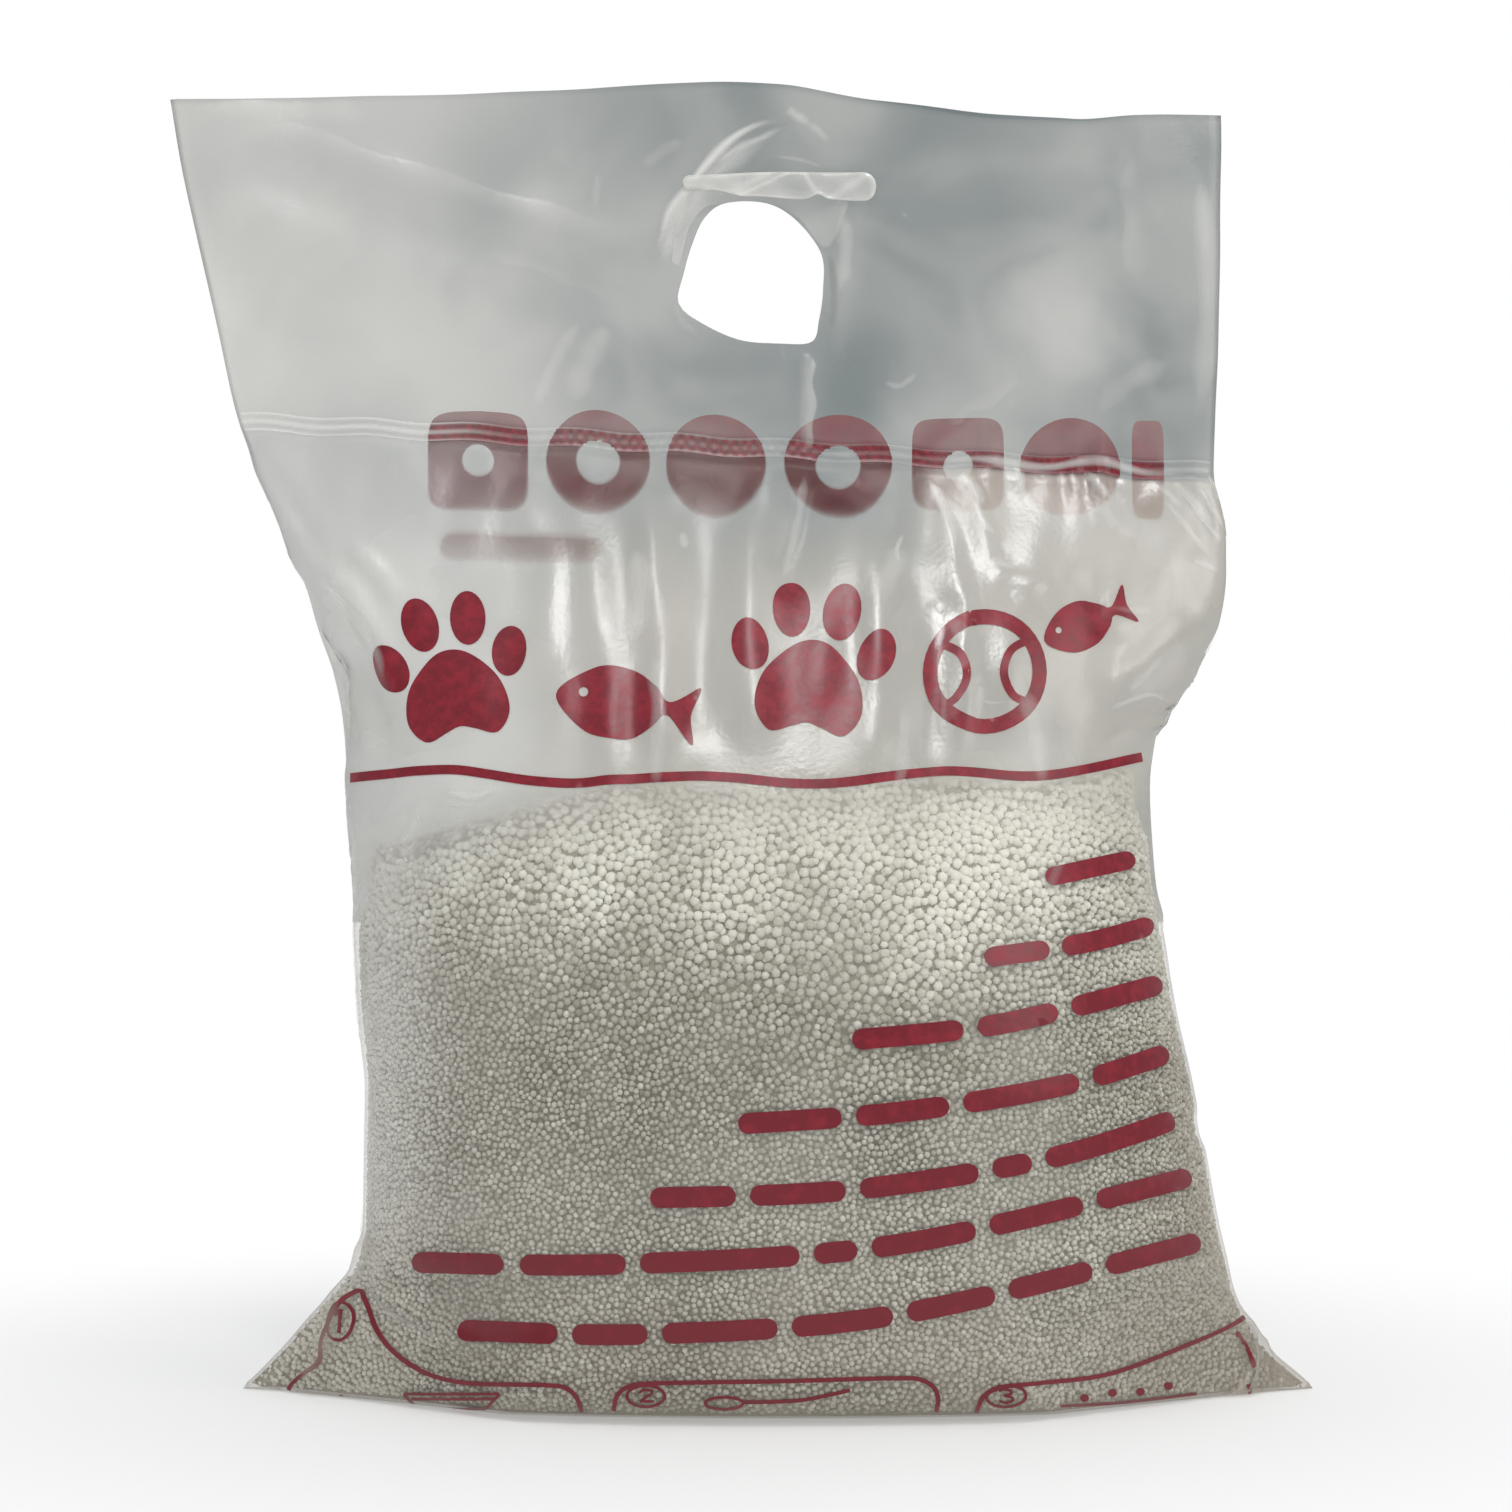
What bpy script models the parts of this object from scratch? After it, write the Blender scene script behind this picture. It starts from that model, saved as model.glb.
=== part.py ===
"""Cat litter bag: a clear film tube with a welded bottom, a die-cut carry hole and a heat seal under it,
filled with granulated litter and standing on its base.

+Z is up and the printed front faces -Y. The frame's origin is the centre of the bounding box at floor level.
The film is one piece: the front and back walls are the two layers of one flattened tube, closed by the bottom
weld, which lies folded under the pack, and by the cross seal. Above the cross seal the two layers lie loosely
together and are open at the top edge.
"""

import math

import bmesh
import bpy

# ---- driving dimensions, metres ----
FILM = 0.00015  # wall of one film layer
GAP = 0.0003  # clearance kept between the film and the fill
SEAL_BAND = 0.006  # height of the cross seal
SEAL_HALF = 0.0003  # half thickness of the welded band
CREASE_HALF = 0.00027  # half thickness at the tube's side creases
POCKET_HALF = 0.0006  # half gap between the layers above the seal
SIDE_INSET = 0.0004  # how far the inner faces stop short of a crease
ACROSS = 26  # segments across one layer

SEAL_LEFT = (-0.216, 0.4035)  # the cross seal's ends, x and z, at mid band
SEAL_RIGHT = (0.191, 0.3820)

# height, left side, right side: the pack's outline seen from the front
OUTLINE = [
    (0.000, -0.2135, 0.2317),
    (0.008, -0.2070, 0.2230),
    (0.019, -0.1965, 0.2110),
    (0.030, -0.1870, 0.2040),
    (0.042, -0.1755, 0.1990),
    (0.055, -0.1660, 0.1960),
    (0.070, -0.1635, 0.1925),
    (0.100, -0.1630, 0.1870),
    (0.130, -0.1625, 0.1812),
    (0.160, -0.1650, 0.1745),
    (0.190, -0.1665, 0.1695),
    (0.220, -0.1680, 0.1655),
    (0.250, -0.1705, 0.1640),
    (0.275, -0.1720, 0.1670),
    (0.300, -0.1755, 0.1830),
    (0.320, -0.1830, 0.1930),
    (0.340, -0.1917, 0.1960),
    (0.360, -0.1996, 0.1946),
    (0.383, -0.2080, 0.1908),
    (0.405, -0.2160, 0.1912),
    (0.440, -0.2240, 0.1925),
    (0.480, -0.2333, 0.1930),
    (0.510, -0.2400, 0.1930),
    (0.540, -0.2452, 0.1925),
    (0.560, -0.2490, 0.1925),
]

# height, front bulge, back bulge, roundness of the section
BULGE = [
    (0.000, 0.0720, 0.0740, 2.0),
    (0.004, 0.0860, 0.0870, 2.1),
    (0.012, 0.0950, 0.0950, 2.2),
    (0.030, 0.1015, 0.1000, 2.4),
    (0.070, 0.1040, 0.1020, 2.7),
    (0.120, 0.1030, 0.1010, 2.7),
    (0.170, 0.0980, 0.0960, 2.6),
    (0.210, 0.0890, 0.0870, 2.4),
    (0.250, 0.0770, 0.0740, 2.2),
    (0.290, 0.0590, 0.0570, 2.1),
    (0.330, 0.0370, 0.0360, 2.0),
    (0.360, 0.0190, 0.0190, 2.0),
    (0.385, 0.0050, 0.0050, 2.0),
    (0.400, 0.0003, 0.0003, 2.0),
]

# left to right along the top edge: x, height
TOP_EDGE = [
    (-0.250, 0.5385),
    (-0.200, 0.5400),
    (-0.120, 0.5420),
    (-0.020, 0.5440),
    (0.010, 0.5420),
    (0.050, 0.5330),
    (0.100, 0.5245),
    (0.130, 0.5235),
    (0.160, 0.5280),
    (0.200, 0.5300),
]

# left to right along the top edge: x, how far the edge leans towards the front
TOP_LEAN = [
    (-0.250, -0.006),
    (-0.170, -0.014),
    (-0.090, -0.010),
    (-0.020, 0.004),
    (0.030, 0.014),
    (0.080, 0.028),
    (0.120, 0.031),
    (0.160, 0.018),
    (0.200, 0.004),
]

# the carry hole's outline, x and z, clockwise from its upper left
HOLE = [
    (-0.0215, 0.4875),
    (-0.0130, 0.4935),
    (0.0040, 0.4935),
    (0.0165, 0.4865),
    (0.0270, 0.4725),
    (0.0278, 0.4580),
    (0.0262, 0.4455),
    (0.0232, 0.4360),
    (0.0100, 0.4352),
    (-0.0070, 0.4368),
    (-0.0230, 0.4440),
    (-0.0322, 0.4520),
    (-0.0300, 0.4650),
    (-0.0265, 0.4770),
]

TONGUE_X = (-0.0305, 0.0497)  # the punched tongue, folded forward and up over the hole's upper edge
TONGUE_Z = (0.4945, 0.5065)

HINGE_X = (-0.0225, 0.0125)  # where the tongue still hangs on the film
VENT_RADIUS = 0.0015
VENTS = [(-0.05, 0.352), (0.05, 0.352)]
FILL_INSET = 0.0007  # how far the fill stops inside the film's outer face, front and back
FILL_SIDE = 0.0012  # and at the sides

# base to shoulder: the fractions of the height to the seal where the sections lie
BODY_ROWS = [0.0, 0.010, 0.030, 0.058, 0.090, 0.130, 0.185, 0.250, 0.320, 0.390, 0.460, 0.530, 0.600, 0.665, 0.725, 0.780, 0.830, 0.875, 0.915, 0.950, 0.978]
TOP_ROWS = 7

LITTER_TOP = [(-0.20, 0.214), (-0.15, 0.221), (-0.10, 0.238), (-0.05, 0.250), (0.05, 0.253), (0.12, 0.252), (0.20, 0.256)]
FILL_ROWS = BODY_ROWS[1:12]  # the fill's full rows, and the steps from the last of them up to its top
FILL_TOP_ROWS = [0.5, 1.0]


def along(table, t, column):
    """A column of a table at t, as a smooth curve through its rows."""
    rows = [(r[0], r[column]) for r in table]
    if t <= rows[0][0]:
        return rows[0][1]
    if t >= rows[-1][0]:
        return rows[-1][1]
    k = max(i for i in range(len(rows) - 1) if rows[i][0] <= t)
    (t0, a), (t1, b) = rows[k], rows[k + 1]

    def slope(i):
        if i == 0 or i == len(rows) - 1:
            return 0.0
        (ta, va), (tb, vb), (tc, vc) = rows[i - 1], rows[i], rows[i + 1]
        before, after = (vb - va) / (tb - ta), (vc - vb) / (tc - tb)
        if before * after <= 0:
            return 0.0
        return 2 * before * after / (before + after)

    h = t1 - t0
    u = (t - t0) / h
    ma, mb = slope(k) * h, slope(k + 1) * h
    return (2 * u**3 - 3 * u**2 + 1) * a + (u**3 - 2 * u**2 + u) * ma + (3 * u**2 - 2 * u**3) * b + (u**3 - u**2) * mb


def seal_height(x):
    (xa, za), (xb, zb) = SEAL_LEFT, SEAL_RIGHT
    return za + (zb - za) * (x - xa) / (xb - xa)


def mid_depth(x, z):
    """The y of the plane midway between the two layers: upright to the seal, then curling with the top edge."""
    low, high = seal_height(x), along(TOP_EDGE, x, 1)
    t = max(0.0, min(1.0, (z - low) / (high - low)))
    return -along(TOP_LEAN, x, 1) * t**1.6


def spread(i):
    """Position -1..1 across a layer, closer together near the creases."""
    t = -1 + 2 * i / ACROSS
    return math.sin(t * math.pi / 2) * 0.55 + t * 0.45


def ends_at(k, scale=None):
    """(left x, left z, right x, right z) of the body's section at fraction k of the way up to the seal."""
    zl, zr = k * (SEAL_LEFT[1] - SEAL_BAND / 2), k * (SEAL_RIGHT[1] - SEAL_BAND / 2)
    return along(OUTLINE, zl, 1), zl, along(OUTLINE, zr, 2), zr


def section(k, s):
    """(x, z, front half depth, back half depth) of the body at fraction k of its height and position s across."""
    xl, zl, xr, zr = ends_at(k)
    t = (s + 1) / 2
    x, z = xl + (xr - xl) * t, zl + (zr - zl) * t
    nominal = k * 0.3900
    power = along(BULGE, nominal, 3)
    dome = max(0.0, 1 - abs(s) ** power) ** 0.5
    low = max(0.0, 1 - nominal / 0.060)  # the corners run out into flat pointed ears near the base
    ear = (1 - abs(s)) ** 1.15 * 1.9
    shape = dome * (1 - low) + min(dome, ear) * low
    front = along(BULGE, nominal, 1) * shape
    back = along(BULGE, nominal, 2) * shape
    floor = CREASE_HALF if abs(s) > 0.999 else SEAL_HALF * 1.2
    return x, z, max(front, floor), max(back, floor)


def body_loop(k, inset=0.0, side=0.0, lift=0.0):
    """The closed loop of points round the body at fraction k: the front layer left to right, then the back layer."""
    front, back = [], []
    for i in range(ACROSS + 1):
        s = spread(i)
        x, z, f, b = section(k, s)
        x -= side * s
        least = CREASE_HALF - FILM if abs(s) > 0.999 else 0.00015
        front.append((x, -max(f - inset, least), z + lift))
        back.append((x, max(b - inset, least), z + lift))
    return front + back[::-1]


def top_loop(t, half, side=0.0, base=0.0):
    """The same loop above the seal, t from 0 at the seal's lower edge to 1 at the top edge."""
    front, back = [], []
    for i in range(ACROSS + 1):
        s = spread(i)
        zl = SEAL_LEFT[1] - SEAL_BAND / 2
        zr = SEAL_RIGHT[1] - SEAL_BAND / 2
        hl, hr = along(TOP_EDGE, -0.245, 1), along(TOP_EDGE, 0.1925, 1)
        xl, xr = along(OUTLINE, zl + (hl - zl) * t, 1), along(OUTLINE, zr + (hr - zr) * t, 2)
        x = xl + (xr - xl) * (s + 1) / 2
        low = seal_height(x) - SEAL_BAND / 2 + base
        z = low + (along(TOP_EDGE, x, 1) - low) * t
        y = mid_depth(x, z)
        x -= side * s
        h = min(half, CREASE_HALF) if abs(s) > 0.999 else half
        front.append((x, y - h, z))
        back.append((x, y + h, z))
    return front + back[::-1]


def add_loop(bm, points):
    return [bm.verts.new(p) for p in points]


def bridge(bm, low, high):
    """Faces between two loops of the same number of points."""
    n = len(low)
    for i in range(n):
        j = (i + 1) % n
        bm.faces.new((low[i], low[j], high[j], high[i]))


def close_flat(bm, loop):
    """Closes a loop by joining each front point to the back point behind it."""
    n = ACROSS + 1
    for i in range(n - 1):
        a, b = loop[i], loop[i + 1]
        c, d = loop[2 * n - 2 - i], loop[2 * n - 1 - i]
        bm.faces.new((a, b, c, d))


def object_from(bm, name, collection, material=None, cavity=None):
    """An object from a closed bmesh; cavity is a closed bmesh of the space inside it, whose faces are turned inwards."""
    bmesh.ops.recalc_face_normals(bm, faces=bm.faces)
    if cavity:
        bmesh.ops.recalc_face_normals(cavity, faces=cavity.faces)
        bmesh.ops.reverse_faces(cavity, faces=cavity.faces)
        inside = bpy.data.meshes.new(name + "_cavity")
        cavity.to_mesh(inside)
        cavity.free()
        bm.from_mesh(inside)
    mesh = bpy.data.meshes.new(name)
    bm.to_mesh(mesh)
    bm.free()
    mesh.shade_smooth()
    mesh.set_sharp_from_angle(angle=math.radians(40))
    obj = bpy.data.objects.new(name, mesh)
    collection.objects.link(obj)
    if material:
        obj.data.materials.append(material)
    return obj


def material(name, colour, roughness, alpha=1.0):
    mat = bpy.data.materials.new(name)
    mat.use_nodes = True
    shader = mat.node_tree.nodes["Principled BSDF"]
    shader.inputs["Base Color"].default_value = (*colour, 1.0)
    shader.inputs["Roughness"].default_value = roughness
    shader.inputs["Metallic"].default_value = 0.0
    shader.inputs["Alpha"].default_value = alpha
    return mat


def film_walls(collection, mat):
    """The film as a loft: its outside from the base to the top edge, and the inner faces of the filled part and of the
    open part above the seal."""
    bm = bmesh.new()
    # outside
    outer = [add_loop(bm, body_loop(0.0))]
    close_flat_base(bm, outer[0], 0.0)
    for k in BODY_ROWS[1:]:
        outer.append(add_loop(bm, body_loop(k)))
        bridge(bm, outer[-2], outer[-1])
    band_top = SEAL_BAND / 0.145
    outer.append(add_loop(bm, top_loop(0.0, SEAL_HALF)))
    bridge(bm, outer[-2], outer[-1])
    outer.append(add_loop(bm, top_loop(band_top, SEAL_HALF)))
    bridge(bm, outer[-2], outer[-1])
    steps = [band_top + (1 - band_top) * (j / TOP_ROWS) ** 0.9 for j in range(1, TOP_ROWS + 1)]
    for t in steps:
        outer.append(add_loop(bm, top_loop(t, POCKET_HALF)))
        bridge(bm, outer[-2], outer[-1])
    # inside of the filled part
    room = bmesh.new()
    inner = add_loop(room, body_loop(0.0, FILM, SIDE_INSET, FILM))
    close_flat_base(room, inner, FILM)
    for k in BODY_ROWS[1:]:
        nxt = add_loop(room, body_loop(k, FILM, SIDE_INSET))
        bridge(room, inner, nxt)
        inner = nxt
    close_flat(room, inner)
    # inside of the open part above the seal
    pocket = add_loop(bm, top_loop(band_top + 0.012, POCKET_HALF * 0.5, SIDE_INSET))
    close_flat(bm, pocket)
    for t in steps:
        nxt = add_loop(bm, top_loop(t, POCKET_HALF - FILM, SIDE_INSET))
        bridge(bm, pocket, nxt)
        pocket = nxt
    bridge(bm, pocket, outer[-1])
    return object_from(bm, "film_bag", collection, mat, room)


def close_flat_base(bm, loop, lift):
    """The base: each layer lies flat from its front or back edge in to the bottom weld on the centre line."""
    n = ACROSS + 1
    weld = [bm.verts.new((loop[i].co.x, 0.0, lift)) for i in range(1, n - 1)]
    for i in range(1, n - 2):
        wa, wb = weld[i - 1], weld[i]
        bm.faces.new((loop[i], loop[i + 1], wb, wa))
        bm.faces.new((wa, wb, loop[2 * n - 2 - i], loop[2 * n - 1 - i]))
    for tip_front, tip_back, near_front, near_back, w in (
        (loop[0], loop[2 * n - 1], loop[1], loop[2 * n - 2], weld[0]),
        (loop[n - 1], loop[n], loop[n - 2], loop[n + 1], weld[-1]),
    ):
        bm.faces.new((tip_front, near_front, w))
        bm.faces.new((w, near_back, tip_back))
        bm.faces.new((tip_front, w, tip_back))


def hidden(obj):
    obj.hide_render = True
    obj.display_type = "WIRE"
    return obj


def cut(obj, cutter, operation="DIFFERENCE"):
    mod = obj.modifiers.new(cutter.name, "BOOLEAN")
    mod.operation = operation
    mod.object = cutter
    mod.solver = "EXACT"


def hole_cutter(collection):
    """The hand-stretched carry hole, as a smooth outline pushed through both layers."""
    points = []
    n = len(HOLE)
    for i in range(n):
        p0, p1, p2, p3 = (HOLE[(i + j - 1) % n] for j in range(4))
        for u in (0.0, 0.5):
            points.append(
                tuple(
                    0.5 * (2 * b + (c - a) * u + (2 * a - 5 * b + 4 * c - d) * u**2 + (3 * b - a - 3 * c + d) * u**3)
                    for a, b, c, d in zip(p0, p1, p2, p3)
                )
            )
    bm = bmesh.new()
    near = [bm.verts.new((x, -0.05, z)) for x, z in points]
    far = [bm.verts.new((x, 0.05, z)) for x, z in points]
    bm.faces.new(near)
    bm.faces.new(far[::-1])
    bridge(bm, near, far)
    return hidden(object_from(bm, "carry_hole_cutter", collection))


def vent_cutter(name, x, z, collection):
    """A vent punched through the back layer only, which lets the air out when the pack is stacked."""
    bm = bmesh.new()
    bmesh.ops.create_cone(bm, cap_ends=True, segments=10, radius1=VENT_RADIUS, radius2=VENT_RADIUS, depth=0.1)
    obj = hidden(object_from(bm, name, collection))
    obj.rotation_euler = (math.pi / 2, 0, 0)
    obj.location = (x, 0.0504, z)
    return obj


def tongue(collection):
    """The tongue that the punch left hanging on the hole's upper edge, folded forward and up against the front."""
    bm = bmesh.new()
    xa, xb = TONGUE_X
    za, zb = TONGUE_Z
    profile = [(0.0004, 0.0), (-0.0016, -0.0016), (-0.0036, -0.0006), (-0.0044, 0.0030), (-0.0042, 0.0075), (-0.0036, 0.0110)]
    rows = []
    steps = 12
    for j, (dy, dz) in enumerate(profile):
        grow = j / (len(profile) - 1)
        row = []
        for i in range(steps + 1):
            t = i / steps
            narrow = (HINGE_X[0] + (HINGE_X[1] - HINGE_X[0]) * t) * (1 - min(1, grow * 2.2)) + (xa + (xb - xa) * t) * min(1, grow * 2.2)
            round_end = 1 - max(0.0, grow - 0.55) ** 2 * 0.25 * abs(2 * t - 1) ** 6
            x = (narrow - (xa + xb) / 2) * round_end + (xa + xb) / 2
            z = za + (zb - za) * dz / profile[-1][1]
            row.append(bm.verts.new((x, mid_depth(x, z) - POCKET_HALF + FILM / 2 + dy, z)))
        rows.append(row)
    for a, b in zip(rows, rows[1:]):
        for i in range(steps):
            bm.faces.new((a[i], a[i + 1], b[i + 1], b[i]))
    obj = object_from(bm, "tongue", collection)
    thick = obj.modifiers.new("thickness", "SOLIDIFY")
    thick.thickness = 2 * FILM
    thick.offset = 0.0
    return hidden(obj)


def fill_top(x):
    return along(LITTER_TOP, x, 1)


def between_rows(k):
    """A loop of the fill at fraction k, on the straight runs between the film's own rows."""
    row = max(i for i in range(len(BODY_ROWS) - 1) if BODY_ROWS[i] <= k)
    low, high = BODY_ROWS[row], BODY_ROWS[row + 1]
    u = (k - low) / (high - low)
    ends = [body_loop(f, FILL_INSET, SIDE_INSET + FILL_SIDE) for f in (low, high)]
    return [tuple(p + (q - p) * u for p, q in zip(*pair)) for pair in zip(*ends)]


def litter(collection, mat):
    """The granules as one settled mass, clear of the film all round, with its own slightly mounded top."""
    bm = bmesh.new()
    n = ACROSS + 1
    floor = [(x, y, z) for x, y, z in body_loop(0.0, FILL_INSET, SIDE_INSET + FILL_SIDE, FILM + GAP)]
    rows = [floor] + [between_rows(k) for k in FILL_ROWS]
    for r in FILL_TOP_ROWS:
        row = []
        for i in range(2 * n):
            s = spread(i if i < n else 2 * n - 1 - i)
            x0, _, _, _ = section(FILL_ROWS[-1], s)
            left, right = SEAL_LEFT[1] - SEAL_BAND / 2, SEAL_RIGHT[1] - SEAL_BAND / 2
            k = fill_top(x0) / (left + (right - left) * (s + 1) / 2)
            row.append(between_rows(FILL_ROWS[-1] + (k - FILL_ROWS[-1]) * r)[i])
        rows.append(row)
    loops = [add_loop(bm, row[1 : n - 1] + row[n + 1 : -1]) for row in rows]
    for low, high in zip(loops, loops[1:]):
        bridge(bm, low, high)
    for loop in (loops[0], loops[-1]):
        m = len(loop)
        for i in range(m // 2 - 1):
            bm.faces.new((loop[i], loop[i + 1], loop[m - 2 - i], loop[m - 1 - i]))
    return object_from(bm, "litter_fill", collection, mat)


def centred(objects):
    """Moves the frame's origin to the middle of the film's bounding box at floor level."""
    film = objects[0]
    xs = [v.co.x for v in film.data.vertices]
    ys = [v.co.y for v in film.data.vertices]
    dx, dy = -(min(xs) + max(xs)) / 2, -(min(ys) + max(ys)) / 2
    for obj in objects:
        obj.location.x += dx
        obj.location.y += dy
    print(f"origin moved by {-dx:.5f}, {-dy:.5f}")


def main():
    for obj in list(bpy.data.objects):
        bpy.data.objects.remove(obj, do_unlink=True)
    parts = bpy.data.collections.new("cat_litter_bag")
    cutters = bpy.data.collections.new("cutters")
    bpy.context.scene.collection.children.link(parts)
    bpy.context.scene.collection.children.link(cutters)
    film_mat = material("clear_film", (0.78, 0.79, 0.78), 0.28, 0.45)
    litter_mat = material("litter", (0.66, 0.65, 0.58), 0.95)
    film = film_walls(parts, film_mat)
    fill = litter(parts, litter_mat)
    hole = hole_cutter(cutters)
    vents = [vent_cutter(f"vent_cutter_{i}", x, z, cutters) for i, (x, z) in enumerate(VENTS)]
    flap = tongue(cutters)
    for cutter in [hole, *vents]:
        cut(film, cutter)
    cut(film, flap, "UNION")
    centred([film, fill, hole, flap, *vents])


main()
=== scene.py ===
import math

import bpy
import numpy as np
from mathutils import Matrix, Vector
from mathutils.geometry import delaunay_2d_cdt


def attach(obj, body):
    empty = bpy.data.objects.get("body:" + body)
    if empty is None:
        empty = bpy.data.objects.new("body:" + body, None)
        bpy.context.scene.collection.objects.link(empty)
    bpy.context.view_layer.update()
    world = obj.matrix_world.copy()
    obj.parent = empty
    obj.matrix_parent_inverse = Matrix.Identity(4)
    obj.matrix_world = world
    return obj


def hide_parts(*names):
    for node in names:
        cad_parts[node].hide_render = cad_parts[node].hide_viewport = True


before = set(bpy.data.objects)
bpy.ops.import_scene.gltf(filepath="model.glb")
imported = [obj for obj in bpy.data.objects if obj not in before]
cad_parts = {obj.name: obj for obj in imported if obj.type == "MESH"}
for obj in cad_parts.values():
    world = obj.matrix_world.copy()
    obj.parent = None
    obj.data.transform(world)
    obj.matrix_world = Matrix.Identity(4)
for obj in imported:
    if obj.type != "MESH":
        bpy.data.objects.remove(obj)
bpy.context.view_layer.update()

rng = np.random.default_rng(7)

# ---------------------------------------------------------------------------------------------
# The pack's form, in metres. Tables are written in the design frame, whose camera looks along +Y
# from x 0, y -1.6, z 0.264, and everything is moved by MOVE into the frame of the CAD at the end.
# ---------------------------------------------------------------------------------------------
MOVE = np.array([0.00662, 0.00100, 0.0])
EYE = np.array([0.0, -1.6, 0.264])
FOCAL = 3840.0  # pixels of a 1512 pixel frame per unit of slope
SEAL_BAND = 0.006
SEAL_LEFT, SEAL_RIGHT = (-0.216, 0.4035), (0.191, 0.3820)

OUTLINE = np.array([
    (0.000, -0.2135, 0.2317), (0.008, -0.2070, 0.2230), (0.019, -0.1965, 0.2110), (0.030, -0.1870, 0.2040),
    (0.042, -0.1755, 0.1990), (0.055, -0.1660, 0.1960), (0.070, -0.1635, 0.1925), (0.100, -0.1630, 0.1870),
    (0.130, -0.1625, 0.1812), (0.160, -0.1650, 0.1745), (0.190, -0.1665, 0.1695), (0.220, -0.1680, 0.1655),
    (0.250, -0.1705, 0.1640), (0.275, -0.1720, 0.1670), (0.300, -0.1755, 0.1830), (0.320, -0.1830, 0.1930),
    (0.340, -0.1917, 0.1960), (0.360, -0.1996, 0.1946), (0.383, -0.2080, 0.1908), (0.405, -0.2160, 0.1912),
    (0.440, -0.2240, 0.1925), (0.480, -0.2333, 0.1930), (0.510, -0.2400, 0.1930), (0.540, -0.2452, 0.1925),
    (0.560, -0.2490, 0.1925),
])
BULGE = np.array([
    (0.000, 0.0720, 0.0740, 2.0), (0.004, 0.0860, 0.0870, 2.1), (0.012, 0.0950, 0.0950, 2.2), (0.030, 0.1015, 0.1000, 2.4),
    (0.070, 0.1040, 0.1020, 2.7), (0.120, 0.1030, 0.1010, 2.7), (0.170, 0.0980, 0.0960, 2.6), (0.210, 0.0890, 0.0870, 2.4),
    (0.250, 0.0770, 0.0740, 2.2), (0.290, 0.0590, 0.0570, 2.1), (0.330, 0.0370, 0.0360, 2.0), (0.360, 0.0190, 0.0190, 2.0),
    (0.385, 0.0050, 0.0050, 2.0), (0.400, 0.0003, 0.0003, 2.0),
])
TOP_EDGE = np.array([
    (-0.250, 0.5385), (-0.200, 0.5400), (-0.120, 0.5420), (-0.020, 0.5440), (0.010, 0.5420), (0.050, 0.5330),
    (0.100, 0.5245), (0.130, 0.5235), (0.160, 0.5280), (0.200, 0.5300),
])
TOP_LEAN = np.array([
    (-0.250, -0.006), (-0.170, -0.014), (-0.090, -0.010), (-0.020, 0.004), (0.030, 0.014), (0.080, 0.028),
    (0.120, 0.031), (0.160, 0.018), (0.200, 0.004),
])
HOLE = np.array([
    (-0.0215, 0.4875), (-0.0130, 0.4935), (0.0040, 0.4935), (0.0165, 0.4865), (0.0270, 0.4725), (0.0278, 0.4580),
    (0.0262, 0.4455), (0.0232, 0.4360), (0.0100, 0.4352), (-0.0070, 0.4368), (-0.0230, 0.4440), (-0.0322, 0.4520),
    (-0.0300, 0.4650), (-0.0265, 0.4770),
])
LITTER_TOP = np.array([(-0.20, 0.214), (-0.15, 0.221), (-0.10, 0.238), (-0.05, 0.250), (0.05, 0.253), (0.12, 0.252), (0.20, 0.256)])

NU = 150  # columns across one layer
BASE_ROWS, BODY_ROWS, BAND_ROWS, TOP_ROWS = 20, 136, 2, 52


def along(table, t, column):
    """A column of a table at t, as a smooth monotone curve through its rows; t may be an array."""
    xs, ys = table[:, 0], table[:, column]
    h, d = np.diff(xs), np.diff(ys) / np.diff(xs)
    m = np.zeros(len(xs))
    both = d[:-1] * d[1:] > 0
    m[1:-1][both] = 2 * d[:-1][both] * d[1:][both] / (d[:-1][both] + d[1:][both])
    t = np.clip(t, xs[0], xs[-1])
    k = np.clip(np.searchsorted(xs, t, side="right") - 1, 0, len(xs) - 2)
    u = (t - xs[k]) / h[k]
    a, b, ma, mb = ys[k], ys[k + 1], m[k] * h[k], m[k + 1] * h[k]
    return (2 * u**3 - 3 * u**2 + 1) * a + (u**3 - 2 * u**2 + u) * ma + (3 * u**2 - 2 * u**3) * b + (u**3 - u**2) * mb


def smooth(a, b, x):
    t = np.clip((x - a) / (b - a), 0, 1)
    return t * t * (3 - 2 * t)


def seal_height(x):
    (xa, za), (xb, zb) = SEAL_LEFT, SEAL_RIGHT
    return za + (zb - za) * (x - xa) / (xb - xa)


def section(k, s):
    """x, z, front and back half depth of the body at fraction k of the way to the seal and s, -1 to 1, across."""
    zl, zr = k * (SEAL_LEFT[1] - SEAL_BAND / 2), k * (SEAL_RIGHT[1] - SEAL_BAND / 2)
    xl, xr = along(OUTLINE, zl, 1), along(OUTLINE, zr, 2)
    t = (s + 1) / 2
    x, z = xl + (xr - xl) * t, zl + (zr - zl) * t
    level = k * 0.3900
    power = along(BULGE, level, 3)
    dome = np.sqrt(np.clip(1 - np.abs(s) ** power, 0, None))
    low = np.clip(1 - level / 0.060, 0, None)
    ear = np.clip(1 - np.abs(s), 0, None) ** 1.15 * 1.9
    shape = dome * (1 - low) + np.minimum(dome, ear) * low
    return x, z, along(BULGE, level, 1) * shape, along(BULGE, level, 2) * shape


def body_point(k, s, side):
    """A point of the body's film: side -1 is the front layer and 1 the back."""
    k, s = np.broadcast_arrays(np.asarray(k, float), np.asarray(s, float))
    x, z, f, b = section(k, s)
    return np.stack([x, np.where(side < 0, -f, b), z], -1)


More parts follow.
